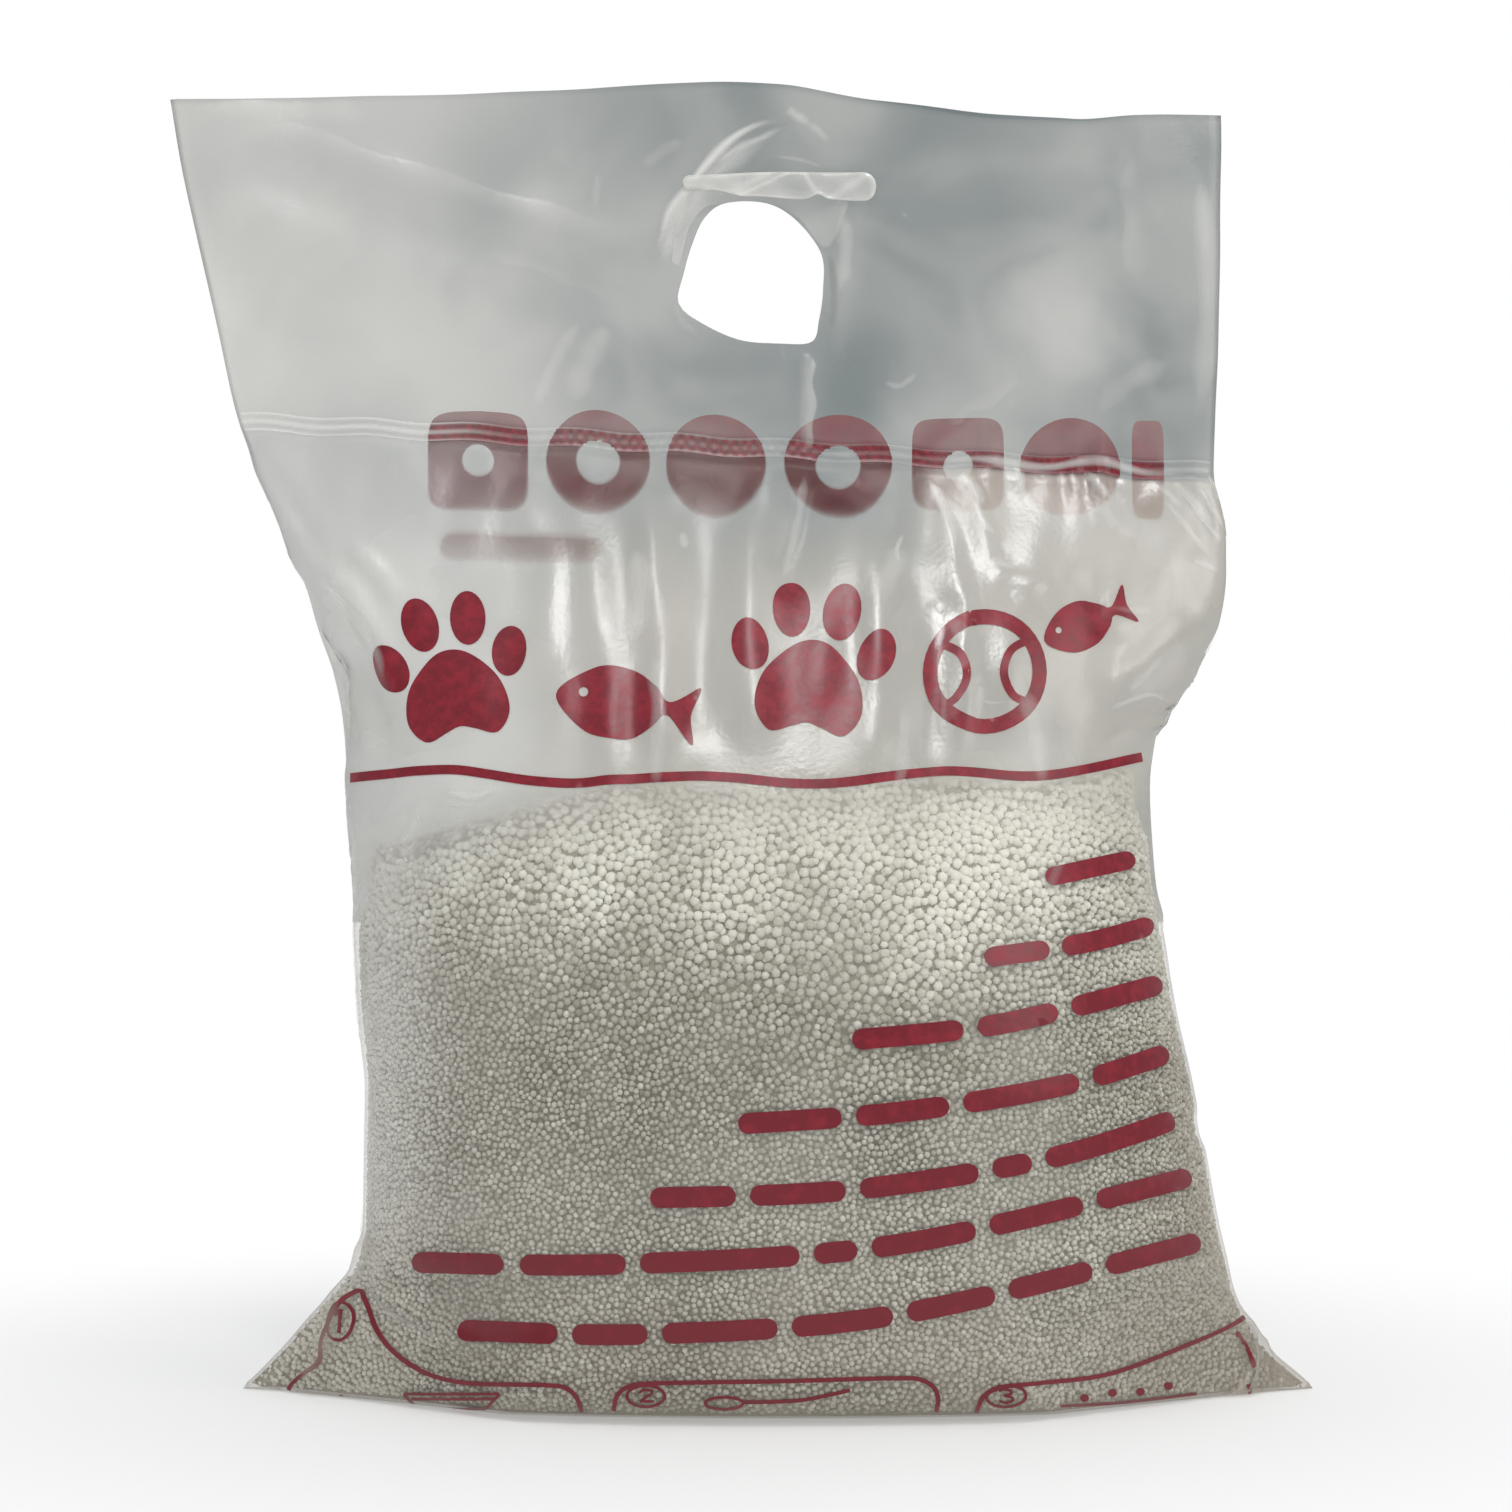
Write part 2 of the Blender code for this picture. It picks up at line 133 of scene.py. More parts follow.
def base_point(b, s, side):
    """A point of the base, b from 0 at the weld on the centre line to 1 at the layer's lower edge."""
    b, s = np.broadcast_arrays(np.asarray(b, float), np.asarray(s, float))
    x, z, f, back = section(np.zeros_like(s), s)
    return np.stack([x, np.where(side < 0, -f, back) * b, np.full(s.shape, 0.0006)], -1)


def top_point(t, s, side, half=0.0006):
    """A point above the seal, t from 0 at the seal's lower edge to 1 at the top edge."""
    t, s = np.broadcast_arrays(np.asarray(t, float), np.asarray(s, float))
    zl, zr = SEAL_LEFT[1] - SEAL_BAND / 2, SEAL_RIGHT[1] - SEAL_BAND / 2
    hl, hr = along(TOP_EDGE, -0.245, 1), along(TOP_EDGE, 0.1925, 1)
    xl, xr = along(OUTLINE, zl + (hl - zl) * t, 1), along(OUTLINE, zr + (hr - zr) * t, 2)
    x = xl + (xr - xl) * (s + 1) / 2
    low, high = seal_height(x) - SEAL_BAND / 2, along(TOP_EDGE, x, 1)
    z = low + (high - low) * t
    y = -along(TOP_LEAN, x, 1) * np.clip((z - seal_height(x)) / (high - seal_height(x)), 0, 1) ** 1.6
    return np.stack([x, y + side * half, z], -1)


def to_pixel(p):
    """The photograph's pixel, in a 1512 pixel frame, at which a design point shows."""
    d = p[..., 1] - EYE[1]
    return np.stack([756 + FOCAL * (p[..., 0] - EYE[0]) / d, 756 - FOCAL * (p[..., 2] - EYE[2]) / d], -1)


# ---- rows and columns: equal steps of film round each section ----
fine = np.linspace(-1, 1, 601)


def even_columns(points):
    """Positions s of NU + 1 columns that are equally far apart along the row."""
    step = np.concatenate([[0], np.cumsum(np.linalg.norm(np.diff(points, axis=0), axis=1))])
    return np.interp(np.linspace(0, step[-1], NU + 1), step, fine), step[-1]


body_k = np.linspace(0, 1, BODY_ROWS + 1) ** 1.0
top_t = np.concatenate([[0.0, 0.5 * SEAL_BAND / 0.145, SEAL_BAND / 0.145],
                        SEAL_BAND / 0.145 + (1 - SEAL_BAND / 0.145) * np.arange(1, TOP_ROWS + 1) / TOP_ROWS])
ROWS = BASE_ROWS + BODY_ROWS + len(top_t)
SEAL_ROW = BASE_ROWS + BODY_ROWS  # the band's first row


def layer_rows(side):
    """The target surface of one layer, rows from the bottom weld to the top edge, and each row's column positions."""
    points, cols, widths = [], [], []
    for j in range(ROWS):
        if j < BASE_ROWS:
            make, at = base_point, j / BASE_ROWS
        elif j < SEAL_ROW:
            make, at = body_point, body_k[j - BASE_ROWS]
        else:
            make, at = top_point, top_t[j - SEAL_ROW]
        s, width = even_columns(make(at, fine, side))
        points.append(make(at, s, side))
        cols.append(s)
        widths.append(width)
    return np.array(points), np.array(cols), np.array(widths)


front, front_s, front_w = layer_rows(-1)
back, back_s, back_w = layer_rows(1)


def dist_to_line(px, line):
    """Distance in pixels to a polyline, position 0 to 1 along it and the side, for an array of pixels."""
    line = np.array(line, float)
    seg = np.linalg.norm(np.diff(line, axis=0), axis=1)
    start = np.concatenate([[0], np.cumsum(seg)]) / seg.sum()
    best = np.full(px.shape[:-1], 1e9)
    pos = np.zeros(px.shape[:-1])
    sign = np.ones(px.shape[:-1])
    for i in range(len(seg)):
        a, d = line[i], line[i + 1] - line[i]
        t = np.clip(((px - a) @ d) / (d @ d), 0, 1)
        off = px - (a + t[..., None] * d)
        r = np.linalg.norm(off, axis=-1)
        near = r < best
        best = np.where(near, r, best)
        pos = np.where(near, start[i] + t * (start[i + 1] - start[i]), pos)
        sign = np.where(near, np.sign(d[0] * off[..., 1] - d[1] * off[..., 0]), sign)
    return best, pos, sign


def taper(pos, a=0.18, b=0.25):
    return smooth(0, a, pos) * (1 - smooth(1 - b, 1, pos))


def normals_of(p):
    """Unit normals of a grid of points; front rows run left to right, so they point at -Y."""
    du = np.gradient(p, axis=1)
    dv = np.gradient(p, axis=0)
    n = np.cross(du, dv)
    return n / np.maximum(np.linalg.norm(n, axis=-1, keepdims=True), 1e-12)


# folds that show on the front, in the photograph's pixels: line, width in pixels, height in mm (+ is towards the
# viewer), kind (ridge, or step: a fold that drops off sharply on one side)
FRONT_FOLDS = [
    # flutes that hang from the seal
    ([(636, 470), (650, 540), (660, 640), (662, 790)], 17, 2.6, "ridge"),
    ([(700, 480), (704, 600), (700, 760)], 24, -2.2, "ridge"),
    ([(575, 470), (590, 560), (606, 680), (612, 900)], 18, 1.7, "ridge"),
    ([(520, 470), (545, 560), (556, 700), (560, 800)], 20, 1.2, "ridge"),
    ([(750, 500), (748, 600), (752, 760)], 16, 1.6, "ridge"),
    ([(806, 465), (800, 540), (772, 600)], 22, -3.2, "ridge"),
    ([(806, 465), (792, 530), (766, 585)], 7, 1.2, "ridge"),
    ([(870, 520), (878, 600), (880, 700), (866, 800)], 19, 2.2, "ridge"),
    ([(925, 560), (930, 680), (925, 790)], 20, -1.6, "ridge"),
    ([(985, 560), (1010, 660), (1022, 780)], 20, 1.3, "ridge"),
    ([(1090, 560), (1100, 680), (1120, 760)], 26, -1.4, "ridge"),
    # sharp creases and crumples under the seal's right half
    ([(938, 490), (955, 540), (966, 600), (972, 690), (965, 760)], 5, 1.3, "step"),
    ([(962, 458), (978, 500), (992, 548), (1010, 590)], 6, 1.5, "step"),
    ([(1085, 470), (1110, 508), (1132, 540)], 6, 1.3, "step"),
    ([(1150, 480), (1180, 512), (1206, 560)], 7, 1.3, "step"),
    ([(1118, 462), (1100, 480), (1108, 500)], 6, 1.2, "ridge"),
    ([(1200, 470), (1216, 505), (1224, 560)], 6, 1.0, "step"),
    ([(990, 570), (1030, 585), (1052, 580)], 8, 1.2, "ridge"),
    ([(930, 600), (955, 606), (968, 640)], 8, -1.0, "ridge"),
    ([(1050, 560), (1090, 620), (1150, 640)], 12, 0.9, "ridge"),
    # the right flap over the waist
    ([(1140, 722), (1168, 716), (1188, 700), (1215, 660)], 11, 3.0, "ridge"),
    ([(1118, 735), (1140, 712), (1175, 704)], 8, -1.8, "ridge"),
    ([(1090, 690), (1130, 670), (1170, 640), (1195, 600)], 16, 1.4, "ridge"),
    ([(1105, 740), (1150, 726)], 6, -1.2, "ridge"),
    # the dent at the left shoulder
    ([(300, 560), (322, 610), (352, 660), (375, 720), (372, 780)], 17, -4.4, "ridge"),
    ([(312, 566), (350, 590), (380, 640), (398, 700)], 12, 2.4, "ridge"),
    ([(240, 440), (285, 520), (318, 572), (345, 600)], 9, 2.2, "ridge"),
    ([(345, 540), (385, 580), (400, 610)], 10, 1.8, "ridge"),
    ([(252, 470), (300, 540), (340, 600)], 14, -1.8, "ridge"),
    ([(330, 640), (345, 700), (350, 780)], 12, -2.4, "ridge"),
    # small creases over the litter's upper left
    ([(445, 790), (478, 796), (500, 780)], 5, 0.7, "step"),
    ([(400, 840), (418, 820), (424, 800)], 6, 0.6, "ridge"),
    ([(355, 900), (362, 1000), (360, 1100)], 8, 0.9, "ridge"),
    # lower left: the wall folds over the ear
    ([(345, 1215), (362, 1262), (398, 1312), (445, 1340), (500, 1352)], 10, 2.2, "step"),
    ([(352, 1260), (372, 1310), (420, 1350), (470, 1360)], 14, -3.2, "ridge"),
    ([(300, 1390), (335, 1330), (350, 1280)], 14, 2.6, "ridge"),
    ([(262, 1402), (300, 1370), (322, 1330)], 8, -2.0, "ridge"),
    ([(395, 1200), (430, 1212), (470, 1190)], 10, 1.1, "ridge"),
    # lower right: two folds over the ear
    ([(1190, 1290), (1236, 1318), (1248, 1352), (1232, 1400)], 11, 2.8, "step"),
    ([(1243, 1310), (1262, 1345), (1250, 1385), (1222, 1412)], 9, 2.4, "ridge"),
    ([(1256, 1332), (1290, 1360), (1306, 1384)], 9, 1.6, "ridge"),
    ([(1236, 1330), (1250, 1350), (1238, 1380)], 7, -2.2, "ridge"),
    ([(1170, 1108), (1200, 1122), (1206, 1150)], 9, -1.4, "ridge"),
    ([(1090, 1190), (1130, 1165), (1195, 1150)], 14, 1.0, "ridge"),
    ([(1040, 1270), (1110, 1240), (1200, 1225)], 16, 0.9, "ridge"),
    ([(1120, 885), (1150, 905), (1158, 930)], 9, 1.2, "ridge"),
]

# the same for the zone above the seal; there both layers follow, the back one half as much
TOP_FOLDS = [
    ([(225, 125), (330, 160), (430, 195), (560, 232), (664, 268)], 26, 2.4, "ridge"),
    ([(225, 160), (340, 200), (480, 240), (640, 285)], 30, -1.6, "ridge"),
    ([(655, 290), (668, 240), (690, 200), (730, 160), (785, 112)], 11, 3.4, "ridge"),
    ([(690, 235), (720, 190), (790, 150), (846, 140)], 22, -2.2, "ridge"),
    ([(790, 118), (830, 165), (842, 178)], 10, 1.6, "ridge"),
    ([(808, 345), (806, 400), (805, 462)], 12, 3.0, "step"),
    ([(836, 180), (846, 240), (838, 300), (832, 340)], 14, 2.2, "ridge"),
    ([(820, 250), (824, 300), (826, 335)], 7, -2.2, "ridge"),
    ([(880, 190), (862, 260), (842, 330)], 16, -1.6, "ridge"),
    ([(834, 340), (880, 380), (930, 440)], 20, -1.6, "ridge"),
    ([(838, 320), (930, 330), (1010, 380), (1080, 440)], 24, 1.8, "ridge"),
    ([(670, 320), (600, 360), (540, 440)], 26, 1.4, "ridge"),
    ([(664, 300), (560, 300), (430, 330)], 24, -1.0, "ridge"),
    ([(1180, 130), (1196, 250), (1188, 380), (1196, 460)], 18, 1.8, "ridge"),
    ([(1150, 250), (1150, 330), (1120, 430)], 22, -1.4, "ridge"),
    ([(1000, 140), (1010, 230), (1060, 330)], 26, 1.2, "ridge"),
    ([(350, 380), (385, 410), (400, 424)], 10, 0.8, "step"),
    ([(880, 95), (900, 200), (960, 250)], 24, -1.2, "ridge"),
]


def folds(p, n, table, share=1.0):
    """Moves a grid of points along its normals by the folds in a table."""
    px = to_pixel(p)
    move = np.zeros(px.shape[:-1])
    for line, width, mm, kind in table:
        r, pos, side = dist_to_line(px, line)
        w = taper(pos)
        if kind == "ridge":
            g = np.exp(-((r / width) ** 2))
        else:
            g = np.where(side > 0, np.exp(-((r / (width * 3.2)) ** 2)), np.exp(-((r / (width * 0.8)) ** 2)))
        move += mm * 1e-3 * g * w
    return p + n * (move * share)[..., None]


def waves(p, seed, size, height, stretch=(1, 1)):
    """Smooth seeded undulation in mm, from a handful of long sines over x and z."""
    r = np.random.default_rng(seed)
    out = np.zeros(p.shape[:-1])
    for _ in range(9):
        a = r.uniform(0, 2 * np.pi)
        f = 2 * np.pi / (size * r.uniform(0.7, 1.6))
        out += np.sin((p[..., 0] * np.cos(a) * stretch[0] + p[..., 2] * np.sin(a) * stretch[1]) * f + r.uniform(0, 7))
    return out / 3 * height * 1e-3


rows_at = np.arange(ROWS)[:, None] * np.ones(NU + 1)
above = smooth(SEAL_ROW + 2, SEAL_ROW + 10, rows_at)  # 1 above the seal band
body = smooth(BASE_ROWS - 4, BASE_ROWS + 6, rows_at) * (1 - smooth(SEAL_ROW - 5, SEAL_ROW, rows_at))
level_z = front[..., 2]
slack = smooth(-0.015, 0.03, level_z - along(LITTER_TOP, front[..., 0], 1)) * body  # film with no litter behind it

fn, bn = normals_of(front), -normals_of(back)
fn = np.where(fn[..., 1:2] > 0.3, -fn, fn)
smooth_front, smooth_back = front.copy(), back.copy()
target_f = folds(front, fn, FRONT_FOLDS) * (1 - above[..., None]) + folds(front, fn, TOP_FOLDS) * above[..., None]
target_b = back * (1 - above[..., None]) + folds(back, np.broadcast_to([0.0, -1.0, 0.0], back.shape), TOP_FOLDS, 0.55) * above[..., None]
ear = np.clip(np.abs(front_s) - 0.965, 0, None) / 0.035
target_f += fn * (waves(front, 3, 0.060, 0.9) * above + waves(front, 5, 0.022, 0.5, (1, 0.35)) * slack)[..., None]
target_b += bn * (waves(back, 4, 0.055, 1.3) * above + waves(back, 6, 0.030, 1.6, (1, 0.3)) * slack + waves(back, 8, 0.05, 0.8) * body * (1 - slack))[..., None]
fx = front[..., 0]
gather = np.sin(fx * 2 * np.pi / 0.0135 + 2.6 * np.sin(fx * 47)) * (0.55 + 0.45 * np.sin(fx * 139 + 1)) * smooth(0.05, 0.13, fx)
near_seal = np.exp(-(((rows_at - SEAL_ROW - 1) / 6.0) ** 2))
target_f[..., 1] += 0.0011 * gather * near_seal
target_b[..., 1] += 0.0011 * gather * near_seal
target_f[..., 2] += 0.0007 * np.sin(front[..., 0] * 2 * np.pi / 0.043) * near_seal
target_b[..., 2] += 0.0007 * np.sin(front[..., 0] * 2 * np.pi / 0.043) * near_seal


lip = np.exp(-(((back[..., 0] - 0.092) / 0.045) ** 2)) * smooth(ROWS - 12, ROWS - 1, rows_at)
target_b += np.stack([0 * lip, 0.0060 * lip, 0.0030 * lip], -1)


def tube(a, b):
    """One grid round the whole bag: the front's columns left to right, then the back's right to left."""
    return np.concatenate([a, b[:, -2:0:-1]], axis=1)


for side in (0, -1):
    mid = (target_f[:, side] + target_b[:, side]) / 2
    target_f[:, side] = target_b[:, side] = mid
T = tube(target_f, target_b)
S = tube(smooth_front, smooth_back)
N_out = tube(fn, bn)
C = 2 * NU


def relax(T, steps, sizes, clear, pinned, hold):
    """Settles the film: cells keep their own size, the film stays outside the litter and off the floor, and the two
    layers don't pass through each other. T is where each point would like to be."""
    P = T.copy()
    R, K, _ = P.shape
    half = K // 2
    eh, ev = sizes
    LH = np.linalg.norm(np.roll(T, -1, 1) - T, axis=-1) * eh
    LV = np.linalg.norm(T[1:] - T[:-1], axis=-1) * ev
    TL = (np.roll(T, -1, 1) + np.roll(T, 1, 1)) / 2 - T
    TV = (T[2:] + T[:-2]) / 2 - T[1:-1]
    free = (~pinned)[..., None].astype(float)
    Nn = N
    for step in range(steps):
        for odd in (0, 1):  # round the bag
            A, B = P[:, odd::2], np.roll(P, -1, 1)[:, odd::2]
            d = B - A
            length = np.linalg.norm(d, axis=-1, keepdims=True)
            d *= 0.5 * (1 - LH[:, odd::2, None] / np.maximum(length, 1e-9))
            wa = free[:, odd::2]
            wb = np.roll(free, -1, 1)[:, odd::2]
            P[:, odd::2] += d * wa
            cols = (np.arange(odd, K, 2) + 1) % K
            P[:, cols] -= d * wb
        for odd in (0, 1):  # up the bag
            A, B = P[odd:-1:2], P[odd + 1 :: 2]
            d = B - A
            length = np.linalg.norm(d, axis=-1, keepdims=True)
            d *= 0.5 * (1 - LV[odd::2, :, None] / np.maximum(length, 1e-9))
            P[odd:-1:2] += d * free[odd:-1:2]
            P[odd + 1 :: 2] -= d * free[odd + 1 :: 2]
        bend = (np.roll(P, -1, 1) + np.roll(P, 1, 1)) / 2 - P - TL
        P += 0.22 * bend * free
        bend = (P[2:] + P[:-2]) / 2 - P[1:-1] - TV
        P[1:-1] += 0.22 * bend * free[1:-1]
        P += hold[..., None] * (T - P) * free
        out = ((P - T) * Nn).sum(-1)
        P += Nn * (np.maximum(-clear - out, 0) * free[..., 0])[..., None]
        P[..., 2] = np.maximum(P[..., 2], 0.0005)
        f, b = P[:, 1:half], P[:, :half:-1]
        cross = np.maximum(f[..., 1] + 0.0007 - b[..., 1], 0) / 2
        f[..., 1] -= cross * free[:, 1:half, 0]
        b[..., 1] += cross * free[:, :half:-1, 0]
    return P


N = N_out / np.maximum(np.linalg.norm(N_out, axis=-1, keepdims=True), 1e-9)
s_all = tube(front_s, back_s)
slack_all = np.concatenate([slack, slack[:, -2:0:-1]], axis=1)
above_all = np.concatenate([above, above[:, -2:0:-1]], axis=1)
body_all = np.concatenate([body, body[:, -2:0:-1]], axis=1)
rows_all = np.concatenate([rows_at, rows_at[:, -2:0:-1]], axis=1)
x_all = T[..., 0]
noise = waves(T, 21, 0.05, 1000.0) * 0.5
eh = 1 + 0.004 + 0.016 * slack_all * (0.6 + 0.4 * noise) + 0.004 * above_all * (1 + noise)
eh += 0.014 * np.exp(-(((rows_all - SEAL_ROW + 8) / 14.0) ** 2)) * smooth(0.03, 0.10, x_all)
ev = 1 + 0.003 + 0.022 * smooth(0.80, 0.98, np.abs(s_all)) * body_all + 0.006 * slack_all
ev = ev[:-1]
clear = 0.0006 + 0.020 * np.maximum(slack_all, above_all)
pinned = np.zeros((ROWS, C), bool)
pinned[0] = True
pinned[SEAL_ROW - 1 : SEAL_ROW + 3] = True
hold = 0.018 + 0.25 * (np.abs(s_all) > 0.992) + 0.05 * (rows_all < BASE_ROWS + 1) + 0.02 * smooth(ROWS - 6, ROWS, rows_all)
P = relax(T, 120, (eh, ev), clear, pinned, hold)

front_p = P[:, : NU + 1]
back_p = np.concatenate([P[:, NU:], P[:, :1]], axis=1)[:, ::-1]

# ---------------------------------------------------------------------------------------------
# materials
# ---------------------------------------------------------------------------------------------
def new_material(name):
    mat = bpy.data.materials.new(name)
    mat.use_nodes = True
    return mat, mat.node_tree, mat.node_tree.nodes["Principled BSDF"]


def node(nt, kind, **values):
    n = nt.nodes.new(kind)
    for key, value in values.items():
        if key in n.inputs:
            n.inputs[key].default_value = value
        else:
            setattr(n, key, value)
    return n


def ranged(nt, source, a, b, low=0.0, high=1.0):
    """source's values from low to high, carried over to a to b."""
    n = node(nt, "ShaderNodeMapRange", interpolation_type="SMOOTHSTEP")
    n.inputs["From Min"].default_value, n.inputs["From Max"].default_value = low, high
    n.inputs["To Min"].default_value, n.inputs["To Max"].default_value = a, b
    nt.links.new(source, n.inputs["Value"])
    return n.outputs["Result"]


def summed(nt, *sources):
    out = sources[0]
    for s in sources[1:]:
        n = node(nt, "ShaderNodeMath", operation="ADD", use_clamp=True)
        nt.links.new(out, n.inputs[0])
        nt.links.new(s, n.inputs[1])
        out = n.outputs["Value"]
    return out


def blended(nt, factor, a, b):
    n = node(nt, "ShaderNodeMix", data_type="RGBA")
    for socket, c in ((n.inputs[6], a), (n.inputs[7], b)):
        if isinstance(c, tuple):
            socket.default_value = (*c, 1)
        else:
            nt.links.new(c, socket)
    nt.links.new(factor, n.inputs[0])
    return n.outputs[2]


def film_material(name="clear_film"):
    """Polyethylene film: see-through as far as the veil attribute says, frosting what stands well behind it, with cloudy
    thickness, scuffs and a fine orange peel that breaks up its gloss."""
    mat, nt, shader = new_material(name)
    link = nt.links.new
    place = node(nt, "ShaderNodeTexCoord")
    veil = node(nt, "ShaderNodeAttribute", attribute_name="veil")
    haze = node(nt, "ShaderNodeAttribute", attribute_name="haze")
    painted_shade = node(nt, "ShaderNodeAttribute", attribute_name="painted_shade")
    frost = node(nt, "ShaderNodeAttribute", attribute_name="frost")
    brown_tint = node(nt, "ShaderNodeAttribute", attribute_name="brown_tint")
    grain = node(nt, "ShaderNodeTexNoise", Scale=480.0, Detail=2.0, Roughness=0.6)
    peel = node(nt, "ShaderNodeTexNoise", Scale=120.0, Detail=2.0, Roughness=0.5)
    cloud = node(nt, "ShaderNodeTexNoise", Scale=15.0, Detail=3.0, Roughness=0.5, Distortion=0.6)
    stretch = node(nt, "ShaderNodeMapping")
    stretch.inputs["Scale"].default_value = (240.0, 240.0, 12.0)
    stretch.inputs["Rotation"].default_value = (0.0, 0.35, 0.0)
    scuff = node(nt, "ShaderNodeTexNoise", Scale=1.0, Detail=3.0, Roughness=0.7)
    link(place.outputs["Object"], stretch.inputs["Vector"])
    link(stretch.outputs["Vector"], scuff.inputs["Vector"])
    for t in (grain, peel, cloud):
        link(place.outputs["Object"], t.inputs["Vector"])
    edge_on = node(nt, "ShaderNodeLayerWeight", Blend=0.5)
    edge_on = ranged(nt, edge_on.outputs["Facing"], 0.0, 0.22, 0.70, 1.0)
    marks = ranged(nt, scuff.outputs["Fac"], 0.0, 0.07, 0.64, 0.80)
    alpha = summed(nt, veil.outputs["Fac"], ranged(nt, cloud.outputs["Fac"], -0.06, 0.07, 0.32, 0.68), marks, edge_on)
    # base colour: whiter where the film is milky, darker and browner towards the bottom and the lower right, and dark
    # grey where painted shade is laid on the film's top edge, the back layer's lip, crease hollows and the seal's
    # hollows
    colour = blended(nt, haze.outputs["Fac"], (0.66, 0.635, 0.55), (0.80, 0.79, 0.755))
    colour = blended(nt, brown_tint.outputs["Fac"], colour, (0.52, 0.455, 0.37))
    link(blended(nt, painted_shade.outputs["Fac"], colour, (0.20, 0.21, 0.20)), shader.inputs["Base Color"])
    link(ranged(nt, cloud.outputs["Fac"], 0.22, 0.36, 0.3, 0.7), shader.inputs["Roughness"])
    both = node(nt, "ShaderNodeMath", operation="MULTIPLY_ADD")
    link(peel.outputs["Fac"], both.inputs[0])
    both.inputs[1].default_value = 1.3
    link(grain.outputs["Fac"], both.inputs[2])
    bump = node(nt, "ShaderNodeBump", Strength=0.20, Distance=0.0005)
    link(both.outputs["Value"], bump.inputs["Height"])
    link(bump.outputs["Normal"], shader.inputs["Normal"])
    shader.inputs["IOR"].default_value = 1.75
    shader.inputs["Specular IOR Level"].default_value = 0.8
    clear = node(nt, "ShaderNodeBsdfTransparent")
    milky = node(nt, "ShaderNodeBsdfRefraction", IOR=1.07, Roughness=0.75)
    through, whole = node(nt, "ShaderNodeMixShader"), node(nt, "ShaderNodeMixShader")
    link(frost.outputs["Fac"], through.inputs["Fac"])
    link(clear.outputs["BSDF"], through.inputs[1])
    link(milky.outputs["BSDF"], through.inputs[2])
    link(alpha, whole.inputs["Fac"])
    link(through.outputs["Shader"], whole.inputs[1])
    link(shader.outputs["BSDF"], whole.inputs[2])
    link(whole.outputs["Shader"], nt.nodes["Material Output"].inputs["Surface"])
    return mat


def ink_material(name, colour, dark, scale=160.0):
    """Flexo ink on film: dense, slightly mottled, darker towards the bottom of the pack as painted shade, as glossy as
    the film under it.
    """
    mat, nt, shader = new_material(name)
    link = nt.links.new
    place = node(nt, "ShaderNodeTexCoord")
    mottle = node(nt, "ShaderNodeTexNoise", Scale=scale, Detail=4.0, Roughness=0.7)
    peel = node(nt, "ShaderNodeTexNoise", Scale=150.0, Detail=2.0, Roughness=0.5)
    link(place.outputs["Object"], mottle.inputs["Vector"])
    link(place.outputs["Object"], peel.inputs["Vector"])
    split = node(nt, "ShaderNodeSeparateXYZ")
    link(place.outputs["Object"], split.inputs["Vector"])
    # mottle, plus painted shade: the ink darkens towards the bottom of the pack
    shade = summed(nt, ranged(nt, mottle.outputs["Fac"], 0.0, 1.0, 0.35, 0.7), ranged(nt, split.outputs["Z"], -0.55, 0.0, 0.02, 0.26))
    link(blended(nt, shade, dark, colour), shader.inputs["Base Color"])
    link(ranged(nt, mottle.outputs["Fac"], 0.28, 0.42), shader.inputs["Roughness"])
    bump = node(nt, "ShaderNodeBump", Strength=0.25, Distance=0.0005)
    link(peel.outputs["Fac"], bump.inputs["Height"])
    link(bump.outputs["Normal"], shader.inputs["Normal"])
    shader.inputs["Specular IOR Level"].default_value = 0.45
    return mat


def litter_material(name, dark, pale, scale, depth):
    """Mineral granules: each its own shade from the shade attribute, which also holds painted light and shade laid by
    position; dusty and pitted.
    """
    mat, nt, shader = new_material(name)
    link = nt.links.new
    place = node(nt, "ShaderNodeTexCoord")
    shade = node(nt, "ShaderNodeAttribute", attribute_name="shade")
    pits = node(nt, "ShaderNodeTexNoise", Scale=900.0, Detail=3.0, Roughness=0.6)
    drift = node(nt, "ShaderNodeTexNoise", Scale=9.0, Detail=3.0, Roughness=0.5)
    cells = node(nt, "ShaderNodeTexVoronoi", Scale=scale)
    for t in (pits, drift, cells):
        link(place.outputs["Object"], t.inputs["Vector"])
    own = summed(nt, shade.outputs["Fac"], ranged(nt, drift.outputs["Fac"], -0.12, 0.12, 0.3, 0.7), ranged(nt, pits.outputs["Fac"], -0.10, 0.10, 0.3, 0.7))
    link(blended(nt, own, dark, pale), shader.inputs["Base Color"])
    shader.inputs["Roughness"].default_value = 0.92
    shader.inputs["Specular IOR Level"].default_value = 0.25
    height = node(nt, "ShaderNodeMath", operation="MULTIPLY_ADD")
    link(cells.outputs["Distance"], height.inputs[0])
    height.inputs[1].default_value = -2.0 if depth > 0.001 else -0.3
    link(pits.outputs["Fac"], height.inputs[2])
    bump = node(nt, "ShaderNodeBump", Strength=0.6, Distance=depth)
    link(height.outputs["Value"], bump.inputs["Height"])
    link(bump.outputs["Normal"], shader.inputs["Normal"])
    return mat


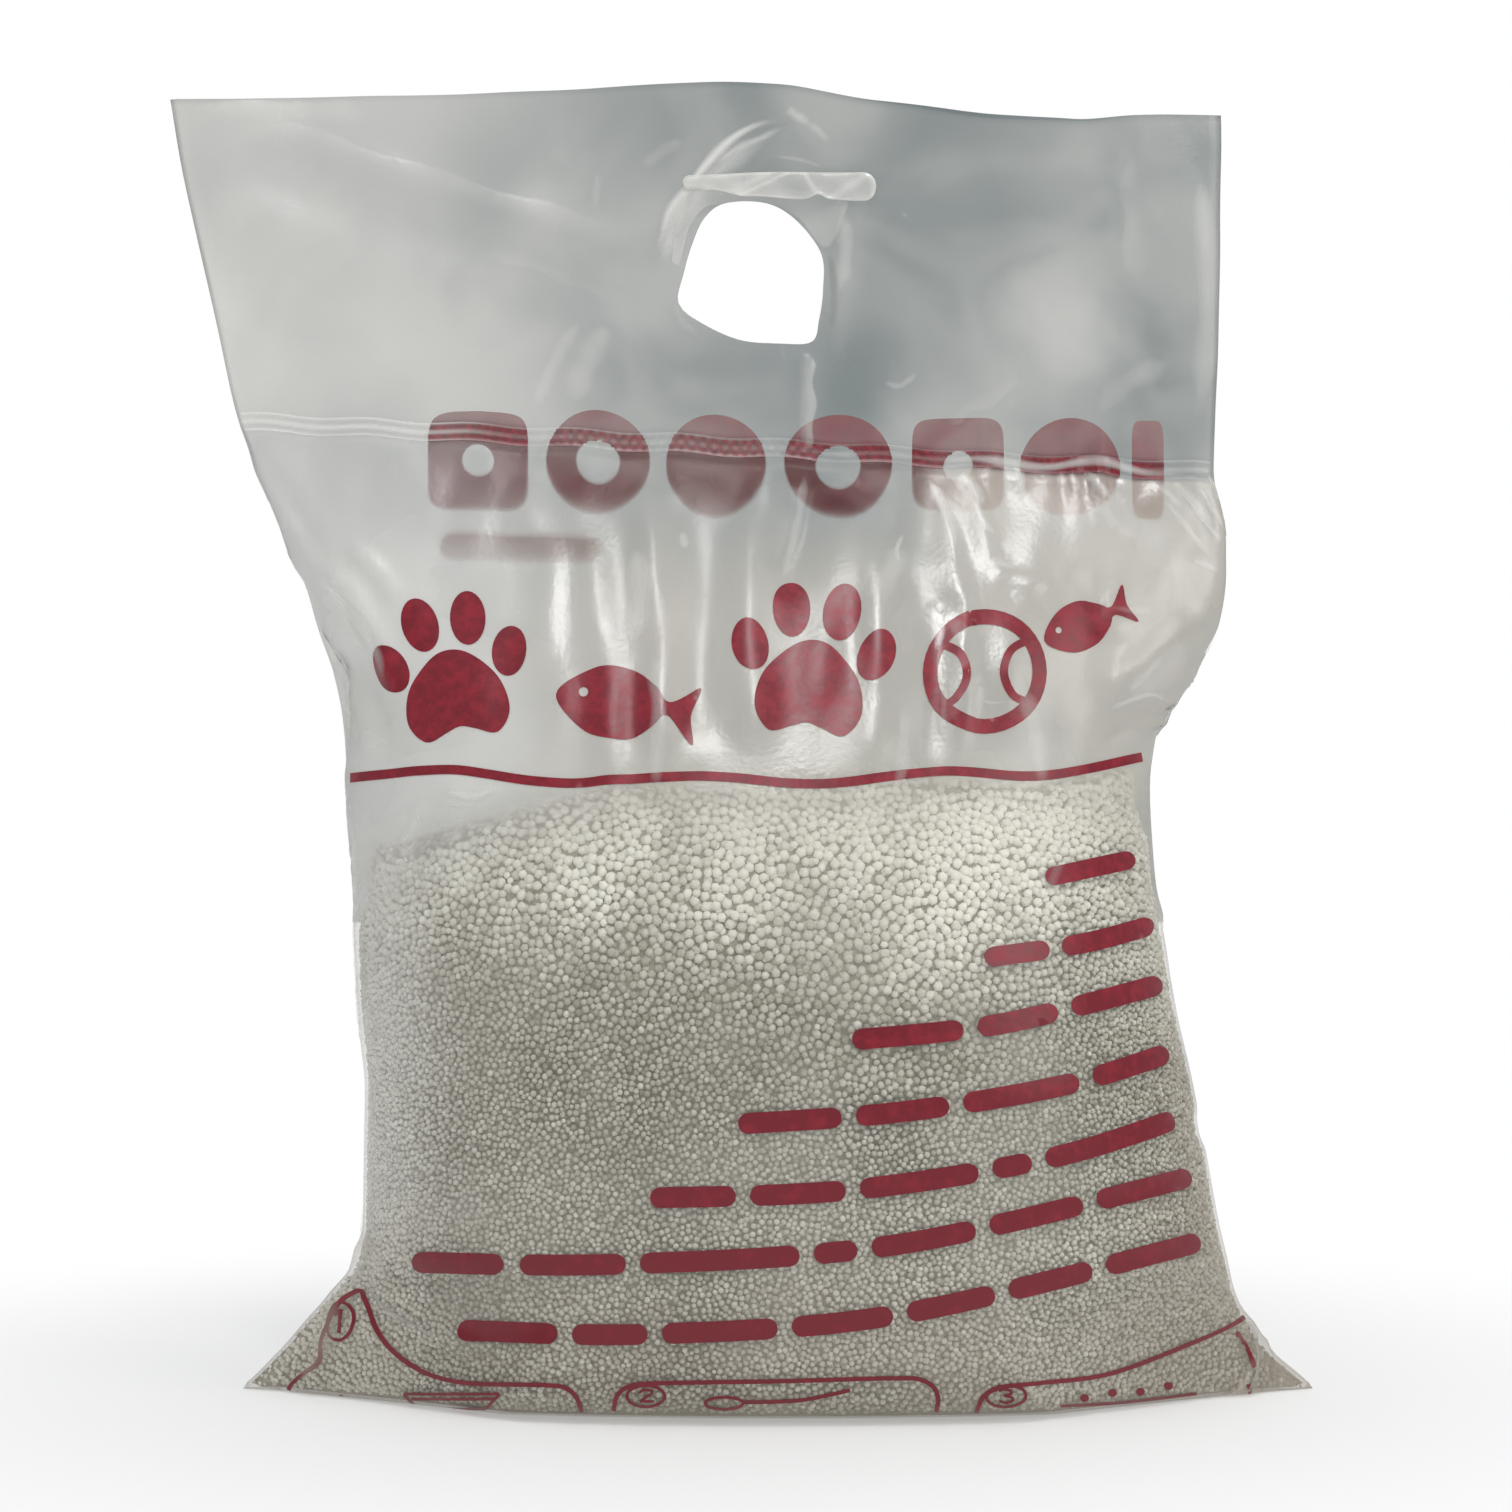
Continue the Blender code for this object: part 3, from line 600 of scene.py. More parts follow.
# ---------------------------------------------------------------------------------------------
# building meshes
# ---------------------------------------------------------------------------------------------
def mesh_object(name, verts, faces, mat, attributes=None, uv=None):
    """A smooth mesh piece from design-frame points, riding on the pack. faces are all of one size."""
    mesh = bpy.data.meshes.new(name)
    verts = np.asarray(verts, float) + MOVE
    faces = np.asarray(faces, np.int32)
    used = np.zeros(len(verts), bool)
    used[faces.ravel()] = True
    new_id = np.cumsum(used) - 1
    faces = new_id[faces].astype(np.int32)
    mesh.vertices.add(int(used.sum()))
    mesh.vertices.foreach_set("co", verts[used].astype(np.float32).ravel())
    n = faces.shape[1]
    mesh.loops.add(faces.size)
    mesh.loops.foreach_set("vertex_index", faces.ravel())
    mesh.polygons.add(len(faces))
    mesh.polygons.foreach_set("loop_start", np.arange(0, faces.size, n, dtype=np.int32))
    mesh.update(calc_edges=True)
    mesh.shade_smooth()
    for key, values in (attributes or {}).items():
        a = mesh.attributes.new(key, "FLOAT", "POINT")
        a.data.foreach_set("value", np.asarray(values, np.float32)[used])
    if uv is not None:
        layer = mesh.uv_layers.new(name="OFBake")
        layer.data.foreach_set("uv", np.asarray(uv, np.float32).ravel())
    mesh.materials.append(mat)
    obj = bpy.data.objects.new(name, mesh)
    bpy.context.scene.collection.objects.link(obj)
    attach(obj, "root")
    return obj


def hole_curve(steps=8):
    pts = []
    n = len(HOLE)
    for i in range(n):
        a, b, c, d = (HOLE[(i + j - 1) % n] for j in range(4))
        for u in np.arange(steps) / steps:
            pts.append(0.5 * (2 * b + (c - a) * u + (2 * a - 5 * b + 4 * c - d) * u**2 + (3 * b - a - 3 * c + d) * u**3))
    return np.array(pts)


def inside(points, poly):
    x, y = points[..., 0], points[..., 1]
    res = np.zeros(x.shape, bool)
    j = len(poly) - 1
    for i in range(len(poly)):
        xi, yi, xj, yj = *poly[i], *poly[j]
        if yi != yj:
            res ^= ((yi > y) != (yj > y)) & (x < (xj - xi) * (y - yi) / (yj - yi) + xi)
        j = i
    return res


hole = hole_curve()


G = tube(front_p, back_p)  # the settled film, rows by columns round the bag
GN = normals_of(G)
GN = np.where(((GN * N).sum(-1) < 0)[..., None], -GN, GN)

idx = np.arange(ROWS * C).reshape(ROWS, C)
idx[0, NU + 1 :] = idx[0, NU - 1 : 0 : -1]  # the bottom weld joins the layers
over_litter = G[..., 2] - along(LITTER_TOP, G[..., 0], 1)
upper = smooth(SEAL_ROW - 1, SEAL_ROW + 1, rows_all)
open_film = smooth(-0.004, 0.026, over_litter)
haze = smooth(-0.030, 0.020, over_litter) * (1 - 0.3 * upper)
veil = 0.20 + 0.27 * smooth(-0.030, 0.012, over_litter)
veil += (0.13 - veil) * smooth(SEAL_ROW - 26, SEAL_ROW - 2, rows_all) + 0.05 * smooth(SEAL_ROW + 12, SEAL_ROW + 26, rows_all)
veil = np.where((rows_all > SEAL_ROW - 0.6) & (rows_all < SEAL_ROW + 2.6), 0.07, veil)
seam = np.minimum(np.abs(np.arange(C) - NU), np.minimum(np.arange(C), C - np.arange(C)))[None] + 0 * rows_all
veil += 0.12 * (1 - smooth(0.2, 1.6, seam))
film_px = to_pixel(G)
left_margin = (1 - smooth(360, 470, film_px[..., 0])) * (np.arange(C)[None] <= NU) * smooth(BASE_ROWS + 14, BASE_ROWS + 30, rows_all) * (1 - haze)
veil += 0.15 * left_margin
right_part = smooth(450, 660, film_px[..., 0]) * (1 - upper)
haze = haze * (1 - 0.75 * right_part)
haze += (1 - haze) * 0.9 * left_margin
veil -= 0.08 * right_part * open_film
milky = smooth(900, 960, film_px[..., 0]) * smooth(SEAL_ROW - 50, SEAL_ROW - 30, rows_all) * (rows_all < SEAL_ROW - 0.4) * (np.arange(C)[None] <= NU)
veil += (0.50 - veil) * milky * smooth(SEAL_ROW - 44, SEAL_ROW - 14, rows_all)
# the film is tinted darker and browner towards the bottom and the lower right where it lies on the litter, and on the
# open film right of centre below the seal
brown_tint = np.clip(0.75 * smooth(1130, 1380, film_px[..., 1]) + 0.8 * smooth(1080, 1230, film_px[..., 0]) * smooth(880, 1080, film_px[..., 1]), 0, 1) * (1 - open_film)
veil += 0.07 * brown_tint
brown_tint += 0.42 * right_part * open_film
frost = 0.8 * open_film * (1 - upper) * (rows_all > BASE_ROWS)
frost = np.where(np.arange(C)[None] <= NU, frost, 0.35 * frost)
# painted shade: the top edge, the folded sides above the seal and the back layer's raised lip are darkened
painted_shade = 0.5 * smooth(ROWS - 1.6, ROWS - 1, rows_all) + 0.35 * (np.abs(s_all) > 0.9995) * upper
painted_shade = np.clip(painted_shade + 0.75 * tube(0 * lip, lip)[:, :], 0, 1)


def on_film(row, col, lift):
    """The point of the film's own facets at a fractional row and column, lifted off it."""
    col = np.mod(col, C)
    r0, c0 = np.clip(np.floor(row).astype(int), 0, ROWS - 2), np.floor(col).astype(int) % C
    fr, fc = np.clip(row - r0, 0, 1)[..., None], (col - np.floor(col))[..., None]
    c1 = (c0 + 1) % C

    def at(grid):
        p00, p01, p10, p11 = grid[r0, c0], grid[r0, c1], grid[r0 + 1, c0], grid[r0 + 1, c1]
        return np.where(fc >= fr, p00 + fc * (p01 - p00) + fr * (p11 - p01), p00 + fr * (p10 - p00) + fc * (p11 - p10))

    n = at(GN)
    return at(G) + n / np.linalg.norm(n, axis=-1, keepdims=True) * lift


grid_px = {-1: to_pixel(smooth_front), 1: to_pixel(smooth_back)}


def at_grid(grid, row, col):
    col = np.mod(col, C)
    r0, c0 = np.clip(np.floor(row).astype(int), 0, ROWS - 2), np.floor(col).astype(int) % C
    fr, fc = row - r0, col - np.floor(col)
    if grid.ndim == 3:
        fr, fc = fr[..., None], fc[..., None]
    c1 = (c0 + 1) % C
    return grid[r0, c0] * (1 - fr) * (1 - fc) + grid[r0, c1] * (1 - fr) * fc + grid[r0 + 1, c0] * fr * (1 - fc) + grid[r0 + 1, c1] * fr * fc


def find_on_layer(px, side):
    """Row and tube column of the smooth layer's point that shows at each pixel."""
    px = np.asarray(px, float)
    grid = grid_px[side][BASE_ROWS:]
    flat = grid.reshape(-1, 2)
    near = np.concatenate([((flat[None] - part[:, None]) ** 2).sum(-1).argmin(1) for part in np.array_split(px, max(1, len(px) // 200))])
    row, col = (near // (NU + 1)).astype(float), (near % (NU + 1)).astype(float)
    R = grid.shape[0]
    for _ in range(6):
        r0, c0 = np.clip(np.floor(row).astype(int), 0, R - 2), np.clip(np.floor(col).astype(int), 0, NU - 1)
        fr, fc = (row - r0)[:, None], (col - c0)[:, None]
        a, b, c, d = grid[r0, c0], grid[r0, c0 + 1], grid[r0 + 1, c0], grid[r0 + 1, c0 + 1]
        here = a * (1 - fr) * (1 - fc) + b * (1 - fr) * fc + c * fr * (1 - fc) + d * fr * fc
        dc, dr = (b - a) * (1 - fr) + (d - c) * fr, (c - a) * (1 - fc) + (d - b) * fc
        off = px - here
        det = dc[:, 0] * dr[:, 1] - dc[:, 1] * dr[:, 0]
        det = np.where(np.abs(det) < 1e-6, 1e-6, det)
        col = np.clip(col + np.clip((off[:, 0] * dr[:, 1] - off[:, 1] * dr[:, 0]) / det, -4, 4), 0.2, NU - 0.2)
        row = np.clip(row + np.clip((dc[:, 0] * off[:, 1] - dc[:, 1] * off[:, 0]) / det, -4, 4), 0.2, R - 1.2)
    row += BASE_ROWS
    return row, (col if side < 0 else C - col)


def film_piece():
    """The film's mesh: the settled grid, with the carry hole cut through both layers along its own outline."""
    verts, tris, uvs = [G.reshape(-1, 3)], [], []
    layers = {"veil": veil, "haze": haze, "painted_shade": painted_shade, "frost": frost, "brown_tint": brown_tint}
    values = {k: [v.ravel()] for k, v in layers.items()}
    open_cells = np.ones((ROWS - 1, C), bool)
    rc = [np.stack([np.repeat(np.arange(ROWS), C), np.tile(np.arange(C), ROWS)], -1).astype(float)]
    count = ROWS * C
    for side in (-1, 1):
        rows, cols = find_on_layer(to_pixel(np.stack([hole[:, 0], np.full(len(hole), -0.006), hole[:, 1]], -1)), side)
        r0, r1 = int(rows.min()) - 1, int(rows.max()) + 2
        c0, c1 = int(cols.min()) - 1, int(cols.max()) + 2
        open_cells[r0:r1, c0:c1] = False
        gr, gc = np.meshgrid(np.arange(r0, r1 + 1), np.arange(c0, c1 + 1), indexing="ij")
        gr, gc = gr.ravel(), gc.ravel()
        outline = np.stack([cols, rows], -1)
        q = np.stack([gc, gr], -1).astype(float)
        apart = np.array([((outline - a) ** 2).sum(1).min() for a in q]) > 0.05
        edge = (gr == r0) | (gr == r1) | (gc == c0) | (gc == c1)
        use = (apart & ~inside(q, outline)) | edge
        gr, gc, q = gr[use], gc[use], q[use]
        n = len(rows)
        out = delaunay_2d_cdt([Vector(v) for v in np.concatenate([outline, q])], [(i, (i + 1) % n) for i in range(n)], [], 0, 1e-6)
        f = np.array(out[2])
        at = np.array([tuple(v) for v in out[0]])
        f = f[~inside(at[f].mean(1), outline)]
        ids = np.zeros(len(at), int)
        for k, origin in enumerate(out[3]):
            o = origin[0] if origin else -1
            ids[k] = count + o if 0 <= o < n else (idx[gr[o - n], gc[o - n] % C] if o >= n else 0)
        verts.append(on_film(rows, cols, 0.0))
        rc.append(np.stack([rows, cols], -1))
        for k in values:
            values[k].append(at_grid(layers[k], rows, cols))
        count += n
        area = np.cross(at[f[:, 1]] - at[f[:, 0]], at[f[:, 2]] - at[f[:, 0]])
        f = f[np.abs(area) > 1e-5]
        area = np.cross(at[f[:, 1]] - at[f[:, 0]], at[f[:, 2]] - at[f[:, 0]])
        f[area < 0] = f[area < 0][:, ::-1]
        tris.append(ids[f])
        uvs.append(np.stack([at[f][..., 0] / C, at[f][..., 1] / (ROWS - 1)], -1))
    nxt = np.roll(idx, -1, 1)
    quads = np.stack([idx[:-1], nxt[:-1], nxt[1:], idx[1:]], -1)[open_cells]
    rr, cc = np.meshgrid(np.arange(ROWS - 1), np.arange(C), indexing="ij")
    corner = np.stack([np.stack([cc, rr], -1), np.stack([cc + 1, rr], -1), np.stack([cc + 1, rr + 1], -1), np.stack([cc, rr + 1], -1)], 2)[open_cells] / [C, ROWS - 1]
    tris += [quads[:, [0, 1, 2]], quads[:, [0, 2, 3]]]
    uvs += [corner[:, [0, 1, 2]], corner[:, [0, 2, 3]]]
    film = mesh_object("film_bag_film", np.concatenate(verts), np.concatenate(tris), film_mat, {k: np.concatenate(v) for k, v in values.items()}, np.concatenate(uvs))
    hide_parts("film_bag")
    return film


film_mat = film_material()
film_piece()


# ---------------------------------------------------------------------------------------------
# print: shapes drawn as outlines in the photograph's pixels, laid on the film
# ---------------------------------------------------------------------------------------------
hole_px = to_pixel(np.stack([hole[:, 0], np.full(len(hole), -0.006), hole[:, 1]], -1))


def out_of_hole(px):
    """Pixels that fall in the carry hole, moved to its outline."""
    px = np.asarray(px, float).copy()
    bad = inside(px, hole_px)
    for i in np.nonzero(bad)[0]:
        a, b = hole_px, np.roll(hole_px, -1, 0)
        d = b - a
        t = np.clip(((px[i] - a) * d).sum(1) / (d * d).sum(1), 0, 1)
        c = a + t[:, None] * d
        px[i] = c[((c - px[i]) ** 2).sum(1).argmin()]
    return px


class Print:
    """Collects shapes of one colour on one layer of film."""

    def __init__(self, side, lift=0.00028):
        self.side, self.lift, self.verts, self.tris, self.count = side, lift, [], [], 0

    def add(self, rows, cols, tris):
        self.verts.append(on_film(rows, cols, self.lift))
        self.tris.append(np.asarray(tris, int) + self.count)
        self.count += len(rows)

    def shape(self, outline, *holes):
        """A filled outline, with holes in it."""
        loops = [find_on_layer(out_of_hole(o), self.side) for o in (outline, *holes)]
        pts, edges, at = [], [], 0
        for rows, cols in loops:
            n = len(rows)
            pts += list(zip(cols, rows))
            edges += [(at + i, at + (i + 1) % n) for i in range(n)]
            at += n
        outer = np.stack([loops[0][1], loops[0][0]], -1)
        inner = [np.stack([l[1], l[0]], -1) for l in loops[1:]]
        lo, hi = np.ceil(outer.min(0)), np.floor(outer.max(0))
        gx, gy = np.meshgrid(np.arange(lo[0], hi[0] + 1), np.arange(lo[1], hi[1] + 1))
        grid = np.stack([gx.ravel(), gy.ravel()], -1)

        def filled(q):
            ok = inside(q, outer)
            for h in inner:
                ok &= ~inside(q, h)
            return ok

        if len(grid):
            grid = grid[filled(grid)]
            every = np.array(pts)
            if len(grid):
                far = np.array([((every - g) ** 2).sum(1).min() for g in grid]) > 0.06
                grid = grid[far]
        pts += [tuple(g) for g in grid]
        out = delaunay_2d_cdt([Vector(q) for q in pts], edges, [], 0, 1e-5)
        v = np.array([tuple(q) for q in out[0]])
        f = np.array(out[2])
        f = f[filled(v[f].mean(1))]
        self.add(v[:, 1], v[:, 0], f)

    def stroke(self, line, width, closed=False, step=3.0):
        """A line of even width in pixels along a smooth path."""
        path = smooth_path(line, closed, step)
        d = np.gradient(path, axis=0) if not closed else np.roll(path, -1, 0) - np.roll(path, 1, 0)
        n = np.stack([-d[:, 1], d[:, 0]], -1) / np.linalg.norm(d, axis=1, keepdims=True)
        w = np.broadcast_to(np.asarray(width, float) / 2, len(path))[:, None]
        rows, cols = find_on_layer(np.concatenate([path - n * w, path + n * w]), self.side)
        m = len(path)
        tris = []
        for i in range(m if closed else m - 1):
            j = (i + 1) % m
            tris += [(i, j, m + j), (i, m + j, m + i)]
        self.add(rows, cols, tris)

    def object(self, name, mat, values=None):
        return mesh_object(name, np.concatenate(self.verts), self.out_facing(), mat, values)

    def out_facing(self):
        v, f = np.concatenate(self.verts), np.concatenate(self.tris)
        n = np.cross(v[f[:, 1]] - v[f[:, 0]], v[f[:, 2]] - v[f[:, 0]])
        real = np.linalg.norm(n, axis=1) > 1e-10
        f, n = f[real], n[real]
        flip = n[:, 1] * self.side < 0
        f[flip] = f[flip][:, ::-1]
        return f


def smooth_path(line, closed=False, step=3.0):
    """Points every step pixels along a smooth curve through the line's points."""
    line = np.asarray(line, float)
    n = len(line)
    if n == 2 and not closed:
        k = max(2, int(np.linalg.norm(line[1] - line[0]) / step))
        return line[0] + (line[1] - line[0]) * np.linspace(0, 1, k)[:, None]
    out = []
    for i in range(n if closed else n - 1):
        if closed:
            a, b, c, d = (line[(i + j - 1) % n] for j in range(4))
        else:
            a, b, c, d = line[max(i - 1, 0)], line[i], line[i + 1], line[min(i + 2, n - 1)]
        k = max(1, int(np.linalg.norm(c - b) / step))
        for u in np.arange(k) / k:
            out.append(0.5 * (2 * b + (c - a) * u + (2 * a - 5 * b + 4 * c - d) * u**2 + (3 * b - a - 3 * c + d) * u**3))
    if not closed:
        out.append(line[-1])
    return np.array(out)


def ellipse(x, y, rx, ry, turn=0.0, n=40):
    a = np.linspace(0, 2 * np.pi, n, endpoint=False)
    p = np.stack([rx * np.cos(a), ry * np.sin(a)], -1)
    c, s = np.cos(math.radians(turn)), np.sin(math.radians(turn))
    return p @ np.array([[c, s], [-s, c]]) + [x, y]


def placed(points, x, y, size, turn=0.0, squeeze=1.0):
    c, s = np.cos(math.radians(turn)), np.sin(math.radians(turn))
    p = np.asarray(points, float) * [size * squeeze, size]
    return p @ np.array([[c, s], [-s, c]]) + [x, y]


PAD = [(-0.34, 0.30), (-0.30, 0.08), (-0.14, -0.10), (0.0, -0.15), (0.14, -0.10), (0.30, 0.08), (0.34, 0.30), (0.24, 0.44), (0.10, 0.40), (0.0, 0.37), (-0.10, 0.40), (-0.24, 0.44)]
TOES = [(-0.40, -0.08, 0.115, 0.165, -18), (-0.16, -0.34, 0.12, 0.18, -6), (0.16, -0.34, 0.12, 0.18, 6), (0.40, -0.08, 0.115, 0.165, 18)]
FISH = [(-0.52, 0.0), (-0.42, -0.14), (-0.22, -0.25), (0.02, -0.25), (0.20, -0.14), (0.30, -0.05), (0.50, -0.22), (0.46, 0.0), (0.50, 0.22), (0.30, 0.05), (0.20, 0.14), (0.02, 0.25), (-0.22, 0.25), (-0.42, 0.14)]


def paw(ink, x, y, size, turn=0.0):
    ink.shape(smooth_path(placed(PAD, x, y, size, turn), True, 4))
    for tx, ty, rx, ry, lean in TOES:
        (cx, cy), = placed([(tx, ty)], x, y, size, turn)
        ink.shape(ellipse(cx, cy, rx * size, ry * size, turn + lean, 30))


def fish(ink, x, y, size, turn=0.0):
    (ex, ey), = placed([(-0.33, -0.05)], x, y, size, turn)
    ink.shape(smooth_path(placed(FISH, x, y, size, turn), True, 4), ellipse(ex, ey, 0.035 * size, 0.035 * size, 0, 12))


def bar(ink, line, start, end, half):
    """A bar with round ends on a path, start to end in pixels along it."""
    path = smooth_path(line, False, 4)
    run = np.concatenate([[0], np.cumsum(np.linalg.norm(np.diff(path, axis=0), axis=1))])
    a = np.linspace(-np.pi / 2, np.pi / 2, 9)
    mid = np.arange(start + half, end - half, 7.0)[1:-1]
    along_path = np.concatenate([start + half - half * np.cos(a), mid, end - half + half * np.cos(a[::-1]), mid[::-1]])
    off = np.concatenate([half * np.sin(a), np.full(len(mid), half), half * np.sin(a[::-1]), np.full(len(mid), -half)])
    x, y = np.interp(along_path, run, path[:, 0]), np.interp(along_path, run, path[:, 1])
    dx, dy = np.interp(along_path + 2, run, path[:, 0]) - np.interp(along_path - 2, run, path[:, 0]), np.interp(along_path + 2, run, path[:, 1]) - np.interp(along_path - 2, run, path[:, 1])
    r = np.maximum(np.hypot(dx, dy), 1e-6)
    ink.shape(np.stack([x - dy / r * off, y + dx / r * off], -1))


def front_print():
    ink = Print(-1)
    # a row of paws, fish and a ball over a plain line
    paw(ink, 452, 672, 150, -9)
    fish(ink, 628, 706, 138, 8)
    paw(ink, 812, 664, 158, 5)
    ink.shape(ellipse(985, 672, 62, 62), ellipse(985, 672, 47, 47))
    ink.stroke([(941, 642), (960, 655), (966, 678), (955, 699), (941, 706)], 8)
    ink.stroke([(1029, 640), (1010, 652), (1003, 674), (1012, 696), (1029, 703)], 8)
    fish(ink, 1088, 622, 92, -24)
    ink.stroke([(352, 778), (450, 770), (560, 783), (700, 776), (820, 784), (940, 771), (1040, 776), (1142, 757)], 9.5)
    # bars in place of words
    lines = [
        ([(1045, 878), (1138, 858)], 9.5, [(0, 92)]),
        ([(984, 958), (1080, 944), (1156, 924)], 10, [(0, 66), (78, 172)]),
        ([(852, 1040), (1000, 1024), (1162, 984)], 10.5, [(0, 112), (126, 208), (222, 316)]),
        ([(738, 1124), (900, 1112), (1060, 1086), (1172, 1052)], 10.5, [(0, 104), (118, 212), (226, 344), (358, 438)]),
        ([(650, 1198), (850, 1190), (1050, 1158), (1184, 1116)], 10.5, [(0, 86), (100, 196), (210, 330), (344, 384), (398, 534)]),
        ([(412, 1262), (620, 1264), (900, 1244), (1194, 1176)], 10.5, [(0, 92), (108, 214), (228, 388), (402, 446), (460, 566), (580, 676), (690, 788)]),
        ([(458, 1330), (650, 1334), (900, 1314), (1206, 1240)], 10.5, [(0, 100), (114, 190), (204, 320), (334, 436), (450, 540), (554, 640), (654, 752)]),
    ]
    for line, half, words in lines:
        for a, b in words:
            bar(ink, line, a, b, half)
    # three outlined panels with plain numbers and simple line drawings
    ink.stroke([(304, 1411), (289, 1394), (296, 1380), (322, 1362), (326, 1340), (340, 1312), (357, 1290), (364, 1302), (374, 1326), (394, 1352), (424, 1372), (470, 1383), (545, 1385), (566, 1388), (577, 1398), (582, 1412)], 4.5)
    ink.stroke([(614, 1411), (617, 1396), (630, 1386), (660, 1383), (780, 1381), (895, 1378), (922, 1380), (935, 1389), (938, 1400), (936, 1412)], 4.5)
    ink.stroke([(976, 1413), (984, 1396), (1002, 1387), (1040, 1383), (1100, 1376), (1150, 1360), (1200, 1338), (1238, 1318)], 4.5)
    ink.stroke([(1231, 1332), (1244, 1346), (1251, 1368)], 4)
    ink.stroke([(1243, 1384), (1248, 1402)], 4)
    ink.stroke(ellipse(344, 1322, 11, 18, 14, 24), 3, True, 2)
    ink.stroke(ellipse(646, 1396, 19, 10.5, 0, 24), 3, True, 2)
    ink.stroke(ellipse(1006, 1396, 20, 10.5, -3, 24), 3, True, 2)
    ink.stroke([(340, 1317), (346, 1311)], 3, False, 2)
    ink.stroke([(346, 1311), (343, 1333)], 3, False, 2)
    ink.stroke([(639, 1393), (643, 1390), (650, 1390), (652, 1393), (646, 1397), (640, 1401)], 2.8, False, 1.5)
    ink.stroke([(640, 1401), (654, 1401)], 2.8, False, 2)
    ink.stroke([(999, 1391), (1004, 1389), (1011, 1391), (1010, 1394), (1004, 1395.5)], 2.6, False, 1.5)
    ink.stroke([(1004, 1395.5), (1011, 1397), (1013, 1400), (1006, 1402.5), (999, 1401)], 2.6, False, 1.5)
    for a, b in (((404, 1394), (500, 1394)), ((500, 1394), (486, 1409)), ((486, 1409), (418, 1410)), ((418, 1410), (404, 1394)), ((412, 1399), (494, 1399))):
        ink.stroke([a, b], 3)
    ink.stroke([(340, 1396), (352, 1404), (372, 1408)], 3)
    ink.stroke(ellipse(724, 1403, 19, 6, 0, 24), 3, True, 2)
    ink.stroke([(742, 1402), (800, 1400), (850, 1390)], 4)
    ink.stroke([(1060, 1406), (1120, 1403), (1196, 1394)], 3)
    for x, y in ((1084, 1398), (1112, 1393), (1140, 1392), (1168, 1386)):
        ink.shape(ellipse(x, y, 4.5, 4, 0, 14))
    return ink.object("front_print", ink_material("red_ink", (0.265, 0.0085, 0.023), (0.165, 0.005, 0.014)))


def back_print():
    ink = Print(1)
    shapes = [
        ("block", 478, 462, 50, 50), ("ring", 598, 462, 52, 52), ("disc", 716, 466, 50, 52), ("ring", 838, 466, 54, 52),
        ("block", 958, 466, 46, 48), ("disc", 1070, 468, 50, 50), ("bar", 1148, 470, 16, 50),
    ]
    bite = Print(-1, 0.00012)
    bx, bv = np.meshgrid(np.arange(420, 1176, 1.0), np.linspace(-8.5, 8.5, 6))
    grid = np.stack([bx, 421.2 + 0.0529 * (bx - 237.6) + bv], -1)
    centre = (grid[:-1, :-1] + grid[:-1, 1:] + grid[1:, :-1] + grid[1:, 1:]) / 4
    red_here = np.zeros(centre.shape[:2], bool)
    for kind, x, y, rx, ry in shapes:
        power, eye = {"block": (5, 0.32), "bar": (5, 0), "ring": (2, 0.42), "disc": (2, 0)}[kind]
        u, v = np.abs(centre[..., 0] - x) / rx, np.abs(centre[..., 1] - y) / ry
        red_here |= (u**power + v**power < 1) & (u**2 + v**2 > eye**2)
    ids = np.arange(bx.size).reshape(bx.shape)
    cells = np.stack([ids[:-1, :-1], ids[:-1, 1:], ids[1:, 1:], ids[1:, :-1]], -1)[red_here]
    bite.add(*find_on_layer(grid.reshape(-1, 2), -1), np.concatenate([cells[:, [0, 1, 2]], cells[:, [0, 2, 3]]]))
    bite.object("seal_print", ink_material("red_ink_sealed", (0.27, 0.006, 0.022), (0.10, 0.002, 0.008), 420.0))
    for kind, x, y, rx, ry in shapes:
        if kind in ("block", "bar"):
            q = np.linspace(0, 2 * np.pi, 48, endpoint=False)
            c, s = np.cos(q), np.sin(q)
            box = np.stack([x + rx * np.sign(c) * np.abs(c) ** 0.35, y + ry * np.sign(s) * np.abs(s) ** 0.35], -1)
            if kind == "block":
                ink.shape(box, ellipse(x, y, rx * 0.32, ry * 0.32, 0, 24))
            else:
                ink.shape(box)
        elif kind == "ring":
            ink.shape(ellipse(x, y, rx, ry), ellipse(x, y, rx * 0.42, ry * 0.42, 0, 26))
        else:
            ink.shape(ellipse(x, y, rx, ry))
    bar(ink, [(440, 548), (620, 552)], 0, 160, 13)
    return ink.object("back_print", ink_material("red_ink_back", (0.20, 0.009, 0.030), (0.15, 0.006, 0.021)))


# ---------------------------------------------------------------------------------------------
# the litter: a body that fills the bag, and loose granules over all of it that shows
# ---------------------------------------------------------------------------------------------
fold_move = ((T - S) * N).sum(-1)
pushed = np.where(fold_move < 0, fold_move, 0.35 * fold_move)


def top_row(col):
    """The row at which the litter's surface meets the film in a column."""
    col = np.mod(col, C)
    i = np.floor(col).astype(int) % C
    z, x = S[BASE_ROWS:SEAL_ROW, :, 2], S[BASE_ROWS:SEAL_ROW, :, 0]
    over = z > along(LITTER_TOP, x, 1)
    first = over.argmax(0).astype(float) + BASE_ROWS
    return np.interp(col, np.arange(C + 1), np.append(first, first[0]))


def litter_skin(row, col, inward):
    """A point that lies inward of the film's resting place."""
    n = at_grid(N, row, col)
    n = n / np.maximum(np.linalg.norm(n, axis=-1, keepdims=True), 1e-9)
    shoulder = np.minimum(0.007 * smooth(-0.030, 0.002, at_grid(over_litter, row, col)), 0.20 * room_at(row, col))
    return at_grid(S, row, col) + n * (at_grid(pushed, row, col) - inward - shoulder)[..., None]


